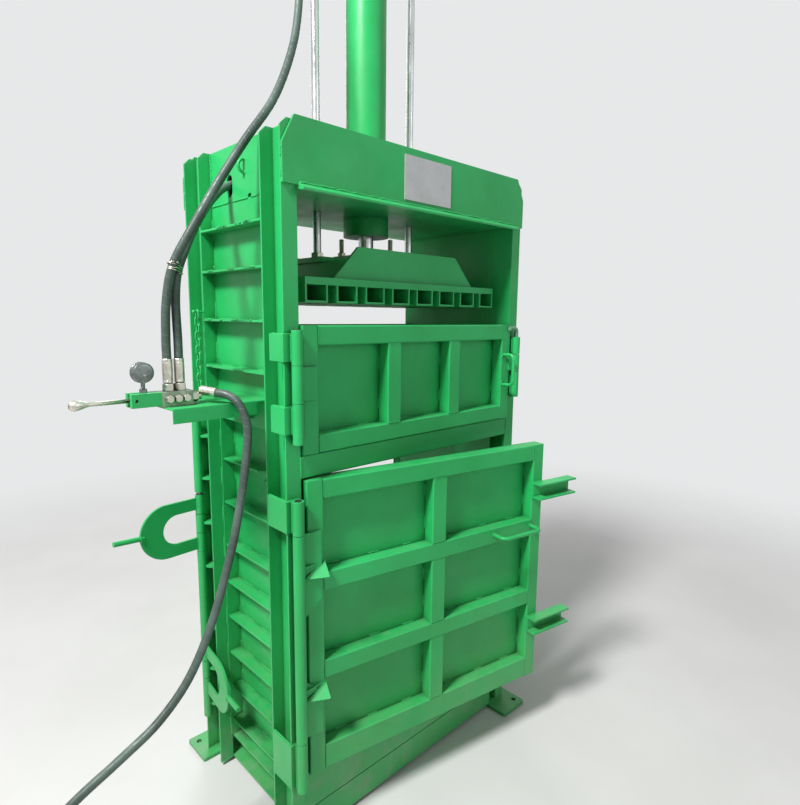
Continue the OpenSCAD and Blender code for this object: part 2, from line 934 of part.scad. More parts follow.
module supply_hose() {
    color("dimgray")
        hose(supply_route, hose_size, 1, 10);
}

module supply_coil() {
    color("dimgray")
        translate(coil_centre)
            rotate_extrude($fn = 48)
                translate([coil_across / 2 - hose_size / 2, 0])
                    square([hose_size, 2 * hose_size]);
}

module supply_coupling() {
    color("silver")
        translate(coil_centre + [20, coil_across / 2, 1.5 * hose_size]) {
            rotate([0, 90, 0])
                cylinder(d = 27, h = 50);
            translate([50, 0, 0])
                rotate([0, 90, 0])
                    rotate([0, 0, 30])
                        hex(29, 26);
            translate([76, 0, 0])
                rotate([0, 90, 0])
                    difference() {
                        cylinder(d = 24, h = 14);
                        translate([0, 0, 2])
                            cylinder(d = 12, h = 13);
                    }
        }
}

// Ram

module piston_rod() {
    color("silver") {
        translate([0, 0, flange_top])
            cylinder(d = rod_size, h = piston_z - flange_top, $fn = 64);
        translate([0, 0, piston_z])
            cylinder(d = cylinder_bore - 2 * slide_clear, h = 60, $fn = 64);
    }
}

module rod_flange() {
    color("mediumseagreen")
        difference() {
            bar_z(-80, 80, -80, 80, head_top, flange_top, 6);
            four_corners()
                translate([58, 58, head_top - 1])
                    cylinder(d = 16.2, h = 30);
        }
}

module platen_plate() {
    color("mediumseagreen")
        block([-platen_half_x, -platen_half_y, platen_z], [platen_half_x, platen_half_y, platen_top]);
}

module platen_channels() {
    color("seagreen")
        translate([0, 0, platen_z])
            mirror([0, 0, 1])
                strap_row(2 * platen_half_y);
}

module platen_stiffeners() {
    color("mediumseagreen") {
        // Long plates at front and rear, with slanted ends
        for (s = [-1, 1])
            flip_y(s)
                translate([0, 215, 0])
                    rotate([90, 0, 0])
                        linear_extrude(10)
                            polygon([[-300, platen_top], [300, platen_top], [210, flange_top - 1], [-210, flange_top - 1]]);
        // Cross ribs between them
        for (x = [-235, -110, 110, 235])
            block([x - 5, -205, platen_top], [x + 5, 205, head_z]);
        // Head plate that the rod flange and the guide rods are bolted to
        difference() {
            block([-250, -90, head_z], [250, 90, head_top]);
            for (s = [-1, 1])
                translate([s * guide_offset, 0, head_z - 1])
                    cylinder(d = guide_size + 2 * seat_clear, h = 17);
            four_corners()
                translate([58, 58, head_z - 1])
                    cylinder(d = 16.2, h = 17);
        }
    }
}

module guide_rods() {
    color("silver")
        for (s = [-1, 1])
            translate([s * guide_offset, 0, head_z - 28])
                cylinder(d = guide_size, h = cylinder_top - 85 - head_z + 28, $fn = 48);
}

module platen_nuts() {
    color("silver") {
        for (s = [-1, 1])
            for (z = [head_z - 20, head_top])
                translate([s * guide_offset, 0, z])
                    difference() {
                        hex(36, 20);
                        translate([0, 0, -1])
                            cylinder(d = guide_size + 2 * seat_clear, h = 22);
                    }
        four_corners()
            translate([58, 58, 0]) {
                translate([0, 0, head_z - 14])
                    cylinder(d = 16, h = 108, $fn = 24);
                for (z = [head_z - 13, flange_top])
                    translate([0, 0, z])
                        difference() {
                            hex(24, 13);
                            translate([0, 0, -1])
                                cylinder(d = 16.1, h = 15);
                        }
            }
    }
}

// Doors. Each is drawn shut on the front side and then turned about its hinge.

module swing(x, y, a) {
    translate([x, y, 0])
        rotate([0, 0, a])
            translate([-x, -y, 0])
                children();
}

module bale_frame() {
    panel = (bale_door_top - bale_door_bottom - foot_rail - 3 * rail) / 3;
    rails = [[bale_door_bottom, bale_door_bottom + foot_rail],
        for (i = [1 : 3]) let (z = bale_door_bottom + foot_rail + i * panel + (i - 1) * rail) [z, z + rail]];
    y0 = -door_front;
    y1 = -door_front + door_bar;
    for (s = [-1, 1])
        flip_x(s)
            bar_z(door_half - stile_width, door_half, y0, y1, bale_door_bottom, bale_door_top);
    for (r = rails)
        bar_x(-door_half + stile_width, door_half - stile_width, y0, y1, r[0], r[1]);
    for (i = [0 : 2])
        bar_z(-30, 25, y0, y1, rails[i][1], rails[i + 1][0]);
}

module bale_skin() {
    block([-door_half, -door_front + door_bar, bale_door_bottom], [door_half, -door_back, bale_door_top]);
}

// Hinge pipe, leaf and gussets of a bale door
module bale_hinge() {
    difference() {
        union() {
            translate([-hinge_x, -hinge_y, 352.5])
                cylinder(d = hinge_pipe, h = 604);
            // Leaf, welded to the pipe and to the face of the stile
            translate([0, -door_front, 0])
                rotate([90, 0, 0])
                    linear_extrude(8)
                        polygon([[-hinge_x, 700], [-hinge_x + 68, 760], [-hinge_x + 68, 955], [-hinge_x, 955]]);
            translate([0, -door_front, 0])
                rotate([90, 0, 0])
                    linear_extrude(8)
                        polygon([[-hinge_x, 356], [-hinge_x + 68, 356], [-hinge_x + 68, 480], [-hinge_x, 540]]);
            // Gussets
            for (z = [500, 860]) {
                translate([0, 0, z])
                    linear_extrude(6)
                        polygon([[-hinge_x, -hinge_y - 10], [-hinge_x + 85, -door_front],
                            [-door_half, -door_front], [-door_half, -hinge_y + 20], [-hinge_x, -hinge_y + 10]]);
            }
        }
        translate([-hinge_x, -hinge_y, 350])
            cylinder(d = pin_size + 2 * pin_clear, h = 610);
        translate([-door_half, -door_front, 340])
            cube([100, 40, 700]);
    }
}

// Channel lugs that a hasp closes over, open to the front
module bale_lugs(heights) {
    for (z = heights)
        difference() {
            block([door_half - stile_width, -door_front - 40, z - lug_height / 2],
                [door_half + lug_reach, -door_front, z + lug_height / 2]);
            block([door_half - stile_width - 1, -door_front - 41, z - lug_height / 2 + 6],
                [door_half + lug_reach + 1, -door_front - 6, z + lug_height / 2 - 6]);
        }
}

module feed_door_frame() {
    y0 = -door_front;
    y1 = -door_front + door_bar;
    color("mediumseagreen") {
        for (s = [-1, 1])
            flip_x(s)
                bar_z(door_half - stile_width, door_half, y0, y1, feed_door_bottom, feed_door_top);
        for (r = [[feed_door_bottom, feed_door_bottom + 50], [feed_door_top - 52, feed_door_top]])
            bar_x(-door_half + stile_width, door_half - stile_width, y0, y1, r[0], r[1]);
        for (x = [-124, 147])
            bar_z(x - 27, x + 27, y0, y1, feed_door_bottom + 50, feed_door_top - 52);
    }
}

module feed_door_skin() {
    color("seagreen")
        block([-door_half, -door_front + door_bar, feed_door_bottom], [door_half, -door_back, feed_door_top]);
}

module feed_door_handle() {
    color("mediumseagreen")
        translate([door_half - 39, -door_front, 1345])
            rotate([0, 90, 0])
                pull_handle(108, 45, 12);
}

// Knuckles of the feed door, with the leaf and strap that carry them
module feed_door_knuckles() {
    color("mediumseagreen") {
        difference() {
            union() {
                translate([-feed_hinge_x, -feed_hinge_y, 1307])
                    cylinder(d = 30, h = 97);
                block([-feed_hinge_x, -door_front - 8, 1312], [-door_half + 40, -door_front, 1399]);
            }
            translate([-feed_hinge_x, -feed_hinge_y, 1300])
                cylinder(d = pin_size + 2 * pin_clear, h = 110);
        }
        difference() {
            union() {
                translate([latch_x, -latch_y, 1337])
                    cylinder(d = 30, h = 61);
                block([door_half - 14, -door_front - 8, 1341], [latch_x, -door_front, 1394]);
            }
            translate([latch_x, -latch_y, 1330])
                cylinder(d = 16.6, h = 80);
        }
    }
}

// Drop pin with a bent top, standing clear of the feed door's knuckle
module latch_pin() {
    color("dimgray")
        translate([latch_x, -latch_y, 0]) {
            translate([0, 0, 1402])
                cylinder(d = 16, h = 76, $fn = 24);
            translate([-14, 0, 1478])
                rotate([90, 0, 0])
                    rotate_extrude(angle = 90, $fn = 24)
                        translate([14, 0])
                            circle(d = 16, $fn = 24);
            translate([-14, 0, 1492])
                rotate([0, -90, 0])
                    cylinder(d = 16, h = 26, $fn = 24);
        }
}

module bale_door_frame() {
    color("mediumseagreen")
        swing(-hinge_x, -hinge_y, -ajar_angle)
            bale_frame();
}

module bale_door_skin() {
    color("seagreen")
        swing(-hinge_x, -hinge_y, -ajar_angle)
            bale_skin();
}

module bale_door_hinge() {
    color("mediumseagreen")
        swing(-hinge_x, -hinge_y, -ajar_angle)
            bale_hinge();
}

module bale_door_handle() {
    color("mediumseagreen")
        swing(-hinge_x, -hinge_y, -ajar_angle)
            translate([door_half - 136, -door_front, 806])
                pull_handle(170, 50, 14);
}

module bale_door_lugs() {
    color("mediumseagreen")
        swing(-hinge_x, -hinge_y, -ajar_angle)
            bale_lugs([front_lower_z, front_upper_z]);
}

module rear_door_frame() {
    color("mediumseagreen")
        rear_side()
            swing(-hinge_x, -hinge_y, -rear_open_angle)
                bale_frame();
}

module rear_door_skin() {
    color("seagreen")
        rear_side()
            swing(-hinge_x, -hinge_y, -rear_open_angle)
                bale_skin();
}

module rear_door_hinge() {
    color("mediumseagreen")
        rear_side()
            swing(-hinge_x, -hinge_y, -rear_open_angle)
                bale_hinge();
}

module rear_door_lugs() {
    color("mediumseagreen")
        rear_side()
            swing(-hinge_x, -hinge_y, -rear_open_angle)
                bale_lugs([lower_hasp_z, upper_hasp_z]);
}

// A hasp with its pivot at the origin, pointing along +X
module hasp() {
    r = hasp_height / 2;
    difference() {
        union() {
            translate([0, hasp_thick / 2, 0])
                rotate([90, 0, 0])
                    linear_extrude(hasp_thick)
                        difference() {
                            union() {
                                translate([0, -r])
                                    square([hasp_reach - r, hasp_height]);
                                translate([hasp_reach - r, 0])
                                    circle(r = r);
                            }
                            translate([-1, -hasp_slot / 2])
                                square([129 - hasp_slot / 2, hasp_slot]);
                            translate([128 - hasp_slot / 2, 0])
                                circle(d = hasp_slot);
                        }
            for (s = [-1, 1])
                flip_z(s)
                    translate([0, 0, 33])
                        cylinder(d = hasp_pipe, h = 62);
            translate([hasp_reach - 12, 0, 0])
                rotate([0, 86, 0])
                    cylinder(d = 16, h = 90, $fn = 24);
        }
        translate([0, 0, -120])
            cylinder(d = pin_size + 2 * pin_clear, h = 240);
        // Room for the fixed knuckle between the two legs
        translate([0, 0, -33])
            cylinder(d = hasp_pipe + 2, h = 66);
    }
}

module rear_upper_hasp() {
    color("mediumseagreen")
        translate([-hasp_x, hasp_y, upper_hasp_z])
            rotate([0, 0, 185])
                hasp();
}

module rear_lower_hasp() {
    color("mediumseagreen")
        translate([-hasp_x, hasp_y, lower_hasp_z])
            rotate([0, 0, 264])
                hasp();
}

module front_upper_hasp() {
    color("mediumseagreen")
        translate([hasp_x, -hasp_y, front_upper_z])
            rotate([0, 0, 86])
                hasp();
}

module front_lower_hasp() {
    color("mediumseagreen")
        translate([hasp_x, -hasp_y, front_lower_z])
            rotate([0, 0, 86])
                hasp();
}

module valve_lever() {
    color("silver")
        translate([-800, -70, 1321]) {
            rotate([90, 0, 0])
                difference() {
                    translate([0, 0, -7])
                        cylinder(d = 20, h = 14);
                    translate([0, 0, -8])
                        cylinder(d = 8 + 2 * pin_clear, h = 16);
                }
            rotate([0, -90, 0])
                difference() {
                    cylinder(d = 11, h = 120, $fn = 24);
                    translate([0, 0, -1])
                        cylinder(d = 14, h = 9);
                }
            // Grip with a rounded end
            translate([-108, 0, 0])
                rotate([0, -90, 0]) {
                    cylinder(d1 = 14, d2 = 26, h = 24);
                    translate([0, 0, 24])
                        cylinder(d1 = 26, d2 = 14, h = 12);
                }
        }
}

columns();
base_frame();
foot_plates();
floor_plate();
floor_channels();
chamber_side_plates();
upper_side_plates();
ribs_left();
ribs_right();
door_cross_bars();
rear_upper_panel();
beam_face_plates();
beam_side_plates();
beam_deck_plates();
beam_webs();
label_plate();
guide_bushes();
cylinder_barrel();
cylinder_gland();
cylinder_cap();
frame_bolts();
knuckle_brackets();
frame_knuckles();
hinge_pins();
valve_shelf();
valve_body();
valve_fittings();
pressure_gauge();
chain();
cap_hose();
rod_hose();
supply_hose();
supply_coil();
supply_coupling();
piston_rod();
rod_flange();
platen_plate();
platen_channels();
platen_stiffeners();
guide_rods();
platen_nuts();
feed_door_frame();
feed_door_skin();
feed_door_handle();
feed_door_knuckles();
bale_door_frame();
bale_door_skin();
bale_door_hinge();
bale_door_handle();
bale_door_lugs();
rear_door_frame();
rear_door_skin();
rear_door_hinge();
rear_door_lugs();
rear_upper_hasp();
rear_lower_hasp();
front_upper_hasp();
front_lower_hasp();
latch_pin();
valve_lever();
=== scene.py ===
"""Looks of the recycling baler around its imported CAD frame.

Lengths in the tables are millimetres in the CAD's own frame; MM turns them into metres.
"""
import json
import math
import random

import bpy
from mathutils import Matrix, Vector


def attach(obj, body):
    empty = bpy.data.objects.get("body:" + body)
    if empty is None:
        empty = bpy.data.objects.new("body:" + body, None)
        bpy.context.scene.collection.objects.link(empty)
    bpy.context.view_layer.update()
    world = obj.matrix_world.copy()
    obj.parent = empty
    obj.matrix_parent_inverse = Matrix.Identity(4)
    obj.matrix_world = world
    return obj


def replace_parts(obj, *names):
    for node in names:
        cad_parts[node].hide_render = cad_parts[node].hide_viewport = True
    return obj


MM = 0.001
SEED = 7

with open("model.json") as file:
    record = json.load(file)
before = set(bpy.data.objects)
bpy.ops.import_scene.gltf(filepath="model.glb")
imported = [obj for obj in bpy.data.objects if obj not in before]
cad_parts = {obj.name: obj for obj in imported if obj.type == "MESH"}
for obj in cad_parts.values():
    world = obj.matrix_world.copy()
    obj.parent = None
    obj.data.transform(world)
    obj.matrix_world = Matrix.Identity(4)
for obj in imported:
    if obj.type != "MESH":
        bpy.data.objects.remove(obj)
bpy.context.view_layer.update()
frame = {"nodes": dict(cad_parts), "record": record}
nodes = frame["nodes"]
random.seed(SEED)


def add_object(name, data):
    made = bpy.data.objects.new(name, data)
    bpy.context.scene.collection.objects.link(made)
    return made


# Camera

CAMERA_PLACE = (-1.294, -1.515, 1.530)
CAMERA_YAW, CAMERA_TILT, CAMERA_ROLL = 43.97, 8.50, 0.603
CAMERA_LENS, CAMERA_SENSOR = 25.69, 36
CAMERA_CLIP = (0.05, 100)


def make_camera():
    """The photograph's camera, fitted to the machine's straight edges."""
    yaw, tilt, roll = (math.radians(a) for a in (CAMERA_YAW, CAMERA_TILT, CAMERA_ROLL))
    ahead = Vector((math.sin(yaw) * math.cos(tilt), math.cos(yaw) * math.cos(tilt), -math.sin(tilt)))
    level = Vector((math.cos(yaw), -math.sin(yaw), 0))
    above = level.cross(ahead)
    right = level * math.cos(roll) + above * math.sin(roll)
    up = above * math.cos(roll) - level * math.sin(roll)
    data = bpy.data.cameras.new("camera")
    data.sensor_width = CAMERA_SENSOR
    data.lens = CAMERA_LENS
    data.clip_start, data.clip_end = CAMERA_CLIP
    camera = add_object("camera", data)
    turn = Matrix((right, up, -ahead)).transposed().to_4x4()
    camera.matrix_world = Matrix.Translation(CAMERA_PLACE) @ turn
    bpy.context.scene.camera = camera


make_camera()


# Materials

class Nodes:
    """Builds one node tree."""

    def __init__(self, tree):
        self.tree = tree

    def fill(self, node, inputs):
        """Links each input that's a socket and sets each that's a value."""
        for key, value in inputs.items():
            if isinstance(value, bpy.types.NodeSocket):
                self.tree.links.new(value, node.inputs[key])
            else:
                node.inputs[key].default_value = value

    def node(self, kind, inputs=None, **settings):
        made = self.tree.nodes.new(kind)
        for key, value in settings.items():
            setattr(made, key, value)
        self.fill(made, inputs or {})
        return made

    def maths(self, operation, a, b=0.0, clamp=False):
        return self.node("ShaderNodeMath", {0: a, 1: b}, operation=operation, use_clamp=clamp).outputs[0]

    def times(self, a, b):
        return self.maths("MULTIPLY", a, b)


class Finish(Nodes):
    """One procedural material."""

    def __init__(self, name, rough, metal=0.0, coat=0.0):
        self.material = bpy.data.materials.new(name)
        self.material.use_nodes = True
        self.tree = self.material.node_tree
        self.shader = self.tree.nodes["Principled BSDF"]
        self.set("Metallic", metal)
        self.set("Roughness", rough)
        self.set("Coat Weight", coat)
        self.place = self.node("ShaderNodeTexCoord").outputs["Object"]

    def set(self, socket, value):
        """Sets or links one of the shader's sockets."""
        self.fill(self.shader, {socket: value})

    def noise(self, scale, detail=3.0, rough=0.55, stretch=(1, 1, 1)):
        """Noise from 0 to 1; a low stretch draws it out along that axis."""
        mapped = self.node("ShaderNodeMapping", {"Vector": self.place, "Scale": stretch})
        return self.node("ShaderNodeTexNoise", {
            "Vector": mapped.outputs[0], "Scale": scale, "Detail": detail, "Roughness": rough,
        }).outputs["Fac"]

    def band(self, value, low, high, start=0.0, end=1.0):
        """value from low..high turned smoothly into start..end."""
        return self.node("ShaderNodeMapRange", {
            "Value": value, "From Min": low, "From Max": high, "To Min": start, "To Max": end,
        }, interpolation_type="SMOOTHSTEP").outputs[0]

    def mix(self, share, a, b):
        return self.node("ShaderNodeMix", {0: share, 6: a, 7: b}, data_type="RGBA").outputs[2]

    def roughness(self, scale, detail, low, high):
        """Roughness that wanders between two values."""
        self.set("Roughness", self.band(self.noise(scale, detail), 0.3, 0.7, low, high))

    def bump(self, height, distance, strength, under=None):
        """A normal with fine relief, laid over the normal under it."""
        inputs = {"Height": height, "Distance": distance, "Strength": strength}
        if under is not None:
            inputs["Normal"] = under
        return self.node("ShaderNodeBump", inputs).outputs[0]

    def soft_edges(self, radius):
        """A normal that rounds sharp edges off."""
        return self.node("ShaderNodeBevel", {"Radius": radius}, samples=4).outputs[0]

    def edge_share(self, radius, low, high):
        """0 on flat faces and 1 along convex and concave edges."""
        flat = self.node("ShaderNodeNewGeometry").outputs["Normal"]
        both = {0: self.soft_edges(radius), 1: flat}
        dot = self.node("ShaderNodeVectorMath", both, operation="DOT_PRODUCT").outputs["Value"]
        return self.band(dot, high, low)

    def corner_share(self, distance, low, high):
        """1 deep in corners, 0 in the open; it masks the shade painted into corners."""
        open_share = self.node("ShaderNodeAmbientOcclusion", {"Distance": distance}, samples=4).outputs["AO"]
        return self.band(open_share, high, low)

    def facing_up(self):
        """1 on level faces, 0 on upright ones."""
        normal = self.node("ShaderNodeNewGeometry").outputs["Normal"]
        height = self.node("ShaderNodeSeparateXYZ", {0: normal}).outputs[2]
        return self.band(height, 0.55, 0.95)


def rgb(r, g, b):
    return (r, g, b, 1.0)


DUST = rgb(0.30, 0.33, 0.27)
YARD_DUST = rgb(0.150, 0.190, 0.070)
RUST_PRIMER = rgb(0.20, 0.13, 0.09)
GREEN_LIGHT = rgb(0.022, 0.430, 0.118)
GREEN_DARK = rgb(0.014, 0.340, 0.082)
# Where the valve's end block starts, in metres along X
VALVE_JOINT = -0.740


def green_paint():
    """Gloss enamel over welded plate: uneven film, soft edges, dust on ledges, a few chips."""
    light, dark = GREEN_LIGHT, GREEN_DARK
    dust, chips, rough = 0.14, 0.5, 0.40
    f = Finish("green_paint", rough, coat=0.08)
    f.set("Coat Roughness", 0.22)
    f.set("Specular IOR Level", 0.36)
    cloud = f.band(f.noise(2.3, 5.0, 0.6), 0.34, 0.66)
    colour = f.mix(cloud, dark, light)
    # Thin streaks that the brush and the spray left, mostly upright
    streak = f.noise(9.0, 3.0, stretch=(6, 6, 0.5))
    thin = rgb(light[0] * 1.35, light[1] * 1.10, light[2] * 1.2)
    colour = f.mix(f.band(streak, 0.62, 0.80, 0, 0.22), colour, thin)
    # Painted shade: the paint darkens to half its colour deep in corners
    deep = rgb(dark[0] * 0.5, dark[1] * 0.5, dark[2] * 0.5)
    colour = f.mix(f.corner_share(0.030, 0.25, 0.75), colour, deep)
    # Dust that settles on what faces up, and near the floor
    patch = f.band(f.noise(28.0, 5.0, 0.65), 0.35, 0.75)
    settled = f.times(f.times(f.facing_up(), patch), dust)
    colour = f.mix(settled, colour, DUST)
    height = f.node("ShaderNodeSeparateXYZ", {0: f.place}).outputs[2]
    splash = f.times(f.band(height, 0.45, 0.0), f.band(f.noise(16.0, 5.0), 0.45, 0.72))
    colour = f.mix(f.times(splash, 0.30), colour, DUST)
    # A warm film of yard dust that thins out upwards
    film = f.times(f.band(height, 0.95, 0.02), f.band(f.noise(2.6, 5.0, 0.65), 0.25, 0.70))
    colour = f.mix(f.times(film, 0.34), colour, YARD_DUST)
    # Edges: the film is thin and pale, and chipped to primer in a few spots
    edge = f.edge_share(0.004, 0.90, 0.985)
    colour = f.mix(f.times(edge, 0.35), colour, thin)
    spots = f.band(f.noise(55.0, 3.0, 0.6), 0.66, 0.72)
    chipped = f.times(f.times(edge, spots), chips)
    colour = f.mix(chipped, colour, RUST_PRIMER)
    f.set("Base Color", colour)
    base_rough = f.band(f.noise(7.0, 4.0), 0.3, 0.7, rough - 0.07, rough + 0.10)
    f.set("Roughness", f.maths("ADD", base_rough, f.times(settled, 0.5), clamp=True))
    # Slight waviness of the plate, runs and orange peel in the film
    wave = f.bump(f.noise(4.5, 2.0), 0.006, 0.35, f.soft_edges(0.0022))
    runs = f.bump(f.noise(30.0, 2.0, stretch=(1, 1, 0.12)), 0.0008, 0.35, wave)
    f.set("Normal", f.bump(f.noise(420.0, 2.0), 0.0003, 0.35, runs))
    return f.material


def bright_rod():
    """Ground or turned steel: fine rings along its length, faint oil film."""
    dark, light, rough = rgb(0.47, 0.49, 0.49), rgb(0.68, 0.70, 0.70), 0.26
    f = Finish("bright_rod", rough, metal=1.0)
    rings = f.noise(900.0, 2.0, stretch=(0.02, 0.02, 1))
    tone = f.mix(f.band(f.noise(6.0, 4.0), 0.35, 0.7), dark, light)
    f.set("Base Color", f.mix(f.band(rings, 0.4, 0.75, 0, 0.25), tone, dark))
    f.roughness(14.0, 5.0, rough * 0.7, rough * 1.5)
    f.set("Normal", f.bump(rings, 0.00008, 0.5, f.soft_edges(0.0008)))
    return f.material


def zinc():
    """Zinc plated fittings: patchy, faintly yellow, with dull spots and painted shade in the corners."""
    f = Finish("zinc_steel", 0.34, metal=1.0)
    yellowed, clean, painted_shade = rgb(0.60, 0.57, 0.46), rgb(0.74, 0.73, 0.69), rgb(0.12, 0.11, 0.09)
    colour = f.mix(f.band(f.noise(60.0, 5.0, 0.65), 0.35, 0.7), yellowed, clean)
    # Painted shade: the colour darkens towards dark brown deep in corners
    f.set("Base Color", f.mix(f.corner_share(0.010, 0.3, 0.8), colour, painted_shade))
    f.roughness(130.0, 4.0, 0.26, 0.50)
    f.set("Normal", f.bump(f.noise(700.0, 3.0), 0.0001, 0.5, f.soft_edges(0.0008)))
    return f.material


def round_bar(name, metal, film, worn):
    """Round bar under a dark or painted film, rubbed bright in places."""
    f = Finish(name, 0.42, metal=metal)
    rubbed = f.band(f.noise(24.0, 5.0, 0.65), 0.48, 0.72)
    f.set("Base Color", f.mix(rubbed, film, worn))
    f.set("Roughness", f.band(rubbed, 0, 1, 0.5, 0.28))
    f.set("Normal", f.bump(f.noise(300.0, 4.0), 0.0002, 0.5, f.soft_edges(0.001)))
    return f.material


HOSE_TURNS_A_METRE = 42.0


def rubber():
    """Hydraulic hose: the mark of the wrapping cloth spirals round it, with dust in the grooves."""
    f = Finish("hose_rubber", 0.55)
    uv = f.node("ShaderNodeUVMap").outputs[0]
    round_share, along, _ = f.node("ShaderNodeSeparateXYZ", {0: uv}).outputs
    turns = f.maths("ADD", f.times(along, HOSE_TURNS_A_METRE), round_share)
    groove = f.maths("ABSOLUTE", f.maths("SUBTRACT", f.maths("FRACT", turns), 0.5))
    line = f.band(groove, 0.42, 0.50)
    weave = f.noise(900.0, 2.0)
    # The green tint and lightness of these black rubber tones are a painted reflection of the surroundings
    black, grey, worn = rgb(0.038, 0.060, 0.050), rgb(0.078, 0.122, 0.102), rgb(0.12, 0.16, 0.14)
    tone = f.mix(f.band(f.noise(9.0, 5.0), 0.35, 0.7), black, grey)
    tone = f.mix(f.times(line, 0.35), tone, worn)
    dusty = f.times(f.facing_up(), f.band(f.noise(35.0, 5.0), 0.4, 0.7, 0, 0.4))
    f.set("Base Color", f.mix(dusty, tone, DUST))
    f.roughness(40.0, 4.0, 0.36, 0.58)
    height = f.maths("ADD", f.times(line, -1.0), f.times(weave, 0.35))
    f.set("Normal", f.bump(height, 0.0006, 0.7))
    return f.material


def bare_plate():
    """Plain sign plate: satin enamelled sheet, faint scratches, a little painted shade along its rim."""
    f = Finish("bare_plate", 0.30, coat=0.2)
    dull, clean = rgb(0.47, 0.49, 0.50), rgb(0.53, 0.54, 0.55)
    scored, painted_shade = rgb(0.40, 0.42, 0.42), rgb(0.28, 0.32, 0.27)
    scratch = f.noise(60.0, 4.0, stretch=(0.3, 1, 4))
    tone = f.mix(f.band(f.noise(11.0, 4.0), 0.3, 0.7), dull, clean)
    tone = f.mix(f.band(scratch, 0.64, 0.72, 0, 0.25), tone, scored)
    # Painted shade: darker where the plate's rim and corners are hidden from light
    f.set("Base Color", f.mix(f.corner_share(0.012, 0.35, 0.85), tone, painted_shade))
    f.roughness(30.0, 3.0, 0.22, 0.42)
    f.set("Normal", f.bump(scratch, 0.0001, 0.4, f.soft_edges(0.0008)))
    return f.material


def valve_casting():
    """The valve: a bare casting under a film of green overspray, with a painted end block."""
    f = Finish("valve_casting", 0.42)
    along = f.node("ShaderNodeSeparateXYZ", {0: f.place}).outputs[0]
    painted = f.band(along, VALVE_JOINT + 0.001, VALVE_JOINT - 0.001)
    dull, bright, painted_shade = rgb(0.19, 0.27, 0.19), rgb(0.36, 0.43, 0.33), rgb(0.05, 0.08, 0.05)
    bare = f.mix(f.band(f.noise(60.0, 5.0, 0.65), 0.35, 0.70), dull, bright)
    # Painted shade: the bare metal darkens deep in its corners
    bare = f.mix(f.corner_share(0.012, 0.3, 0.8), bare, painted_shade)
    green = f.mix(f.band(f.noise(14.0, 4.0), 0.34, 0.66), GREEN_DARK, GREEN_LIGHT)
    f.set("Base Color", f.mix(painted, bare, green))
    f.set("Metallic", f.band(painted, 0.0, 1.0, 0.75, 0.0))
    f.roughness(90.0, 4.0, 0.34, 0.52)
    f.set("Normal", f.bump(f.noise(260.0, 3.0), 0.0003, 0.5, f.soft_edges(0.0015)))
    return f.material


def gauge_case():
    """Satin grey metal of the gauge's case."""
    f = Finish("gauge_case", 0.30, metal=1.0)
    dark, light = rgb(0.17, 0.20, 0.19), rgb(0.26, 0.29, 0.28)
    f.set("Base Color", f.mix(f.band(f.noise(45.0, 4.0), 0.35, 0.7), dark, light))
    f.roughness(90.0, 3.0, 0.22, 0.42)
    f.set("Normal", f.bump(f.noise(400.0, 2.0), 0.0001, 0.4, f.soft_edges(0.0008)))
    return f.material


def dial_white():
    """Slightly aged white enamel."""
    f = Finish("dial_white", 0.45)
    aged, clean = rgb(0.72, 0.72, 0.68), rgb(0.82, 0.82, 0.79)
    f.set("Base Color", f.mix(f.band(f.noise(70.0, 3.0), 0.4, 0.7), aged, clean))
    return f.material


def dial_black():
    """Black print of the strokes and the needle."""
    f = Finish("dial_black", 0.5)
    f.set("Base Color", f.mix(f.noise(120.0), rgb(0.015, 0.015, 0.015), rgb(0.04, 0.04, 0.04)))
    return f.material


def clear_glass():
    """Thin clear glass, smeared in places."""
    f = Finish("gauge_glass", 0.04)
    f.set("Base Color", rgb(0.75, 0.80, 0.78))
    f.set("Alpha", 0.16)
    f.set("Roughness", f.band(f.noise(80.0), 0.4, 0.8, 0.03, 0.16))
    return f.material


MATERIALS = {
    "green_paint": green_paint(),
    "zinc_steel": zinc(),
    "bright_rod": bright_rod(),
    "hose_rubber": rubber(),
    "pin_steel": round_bar("pin_steel", 1.0, rgb(0.10, 0.10, 0.095), rgb(0.36, 0.36, 0.35)),
    "bare_plate": bare_plate(),
    "gauge_case": gauge_case(),
}
DIAL_WHITE = dial_white()
DIAL_BLACK = dial_black()
GLASS = clear_glass()
OWN_FINISH = {
    "valve_body": valve_casting(),
    "latch_pin": round_bar("drop_pin_paint", 0.3, rgb(0.11, 0.29, 0.17), rgb(0.34, 0.46, 0.38)),
}

for row in frame["record"]["subparts"]:
    mesh = nodes[row["node"]].data
    mesh.materials.clear()
    mesh.materials.append(OWN_FINISH.get(row["node"], MATERIALS[row["material_slot"]]))


# Mesh helpers

def add_mesh(name, points, faces, body, slot, smooth=True, material=None, uvs=None):
    """A mesh piece from millimetre points, riding on a body."""
    mesh = bpy.data.meshes.new(name)
    mesh.from_pydata([tuple(c * MM for c in p) for p in points], [], faces)
    if uvs:
        layer = mesh.uv_layers.new(name="UVMap")
        for loop, uv in zip(layer.data, uvs):
            loop.uv = uv
    mesh.materials.append(material or MATERIALS[slot])
    if smooth:
        mesh.shade_smooth()
    mesh.update()
    piece = add_object(name, mesh)
    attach(piece, body)
    return piece


def spline(route, steps):
    """The CAD's own smooth curve through a route's points."""
    points = []
    for i in range(len(route) - 1):
        a, b, c, d = (Vector(route[j]) for j in (max(i - 1, 0), i, i + 1, min(i + 2, len(route) - 1)))
        for j in range(steps):
            t = j / steps
            points.append(0.5 * (2 * b + (c - a) * t + (2 * a - 5 * b + 4 * c - d) * t ** 2
                                 + (3 * b - a - 3 * c + d) * t ** 3))
    return points + [Vector(route[-1])]


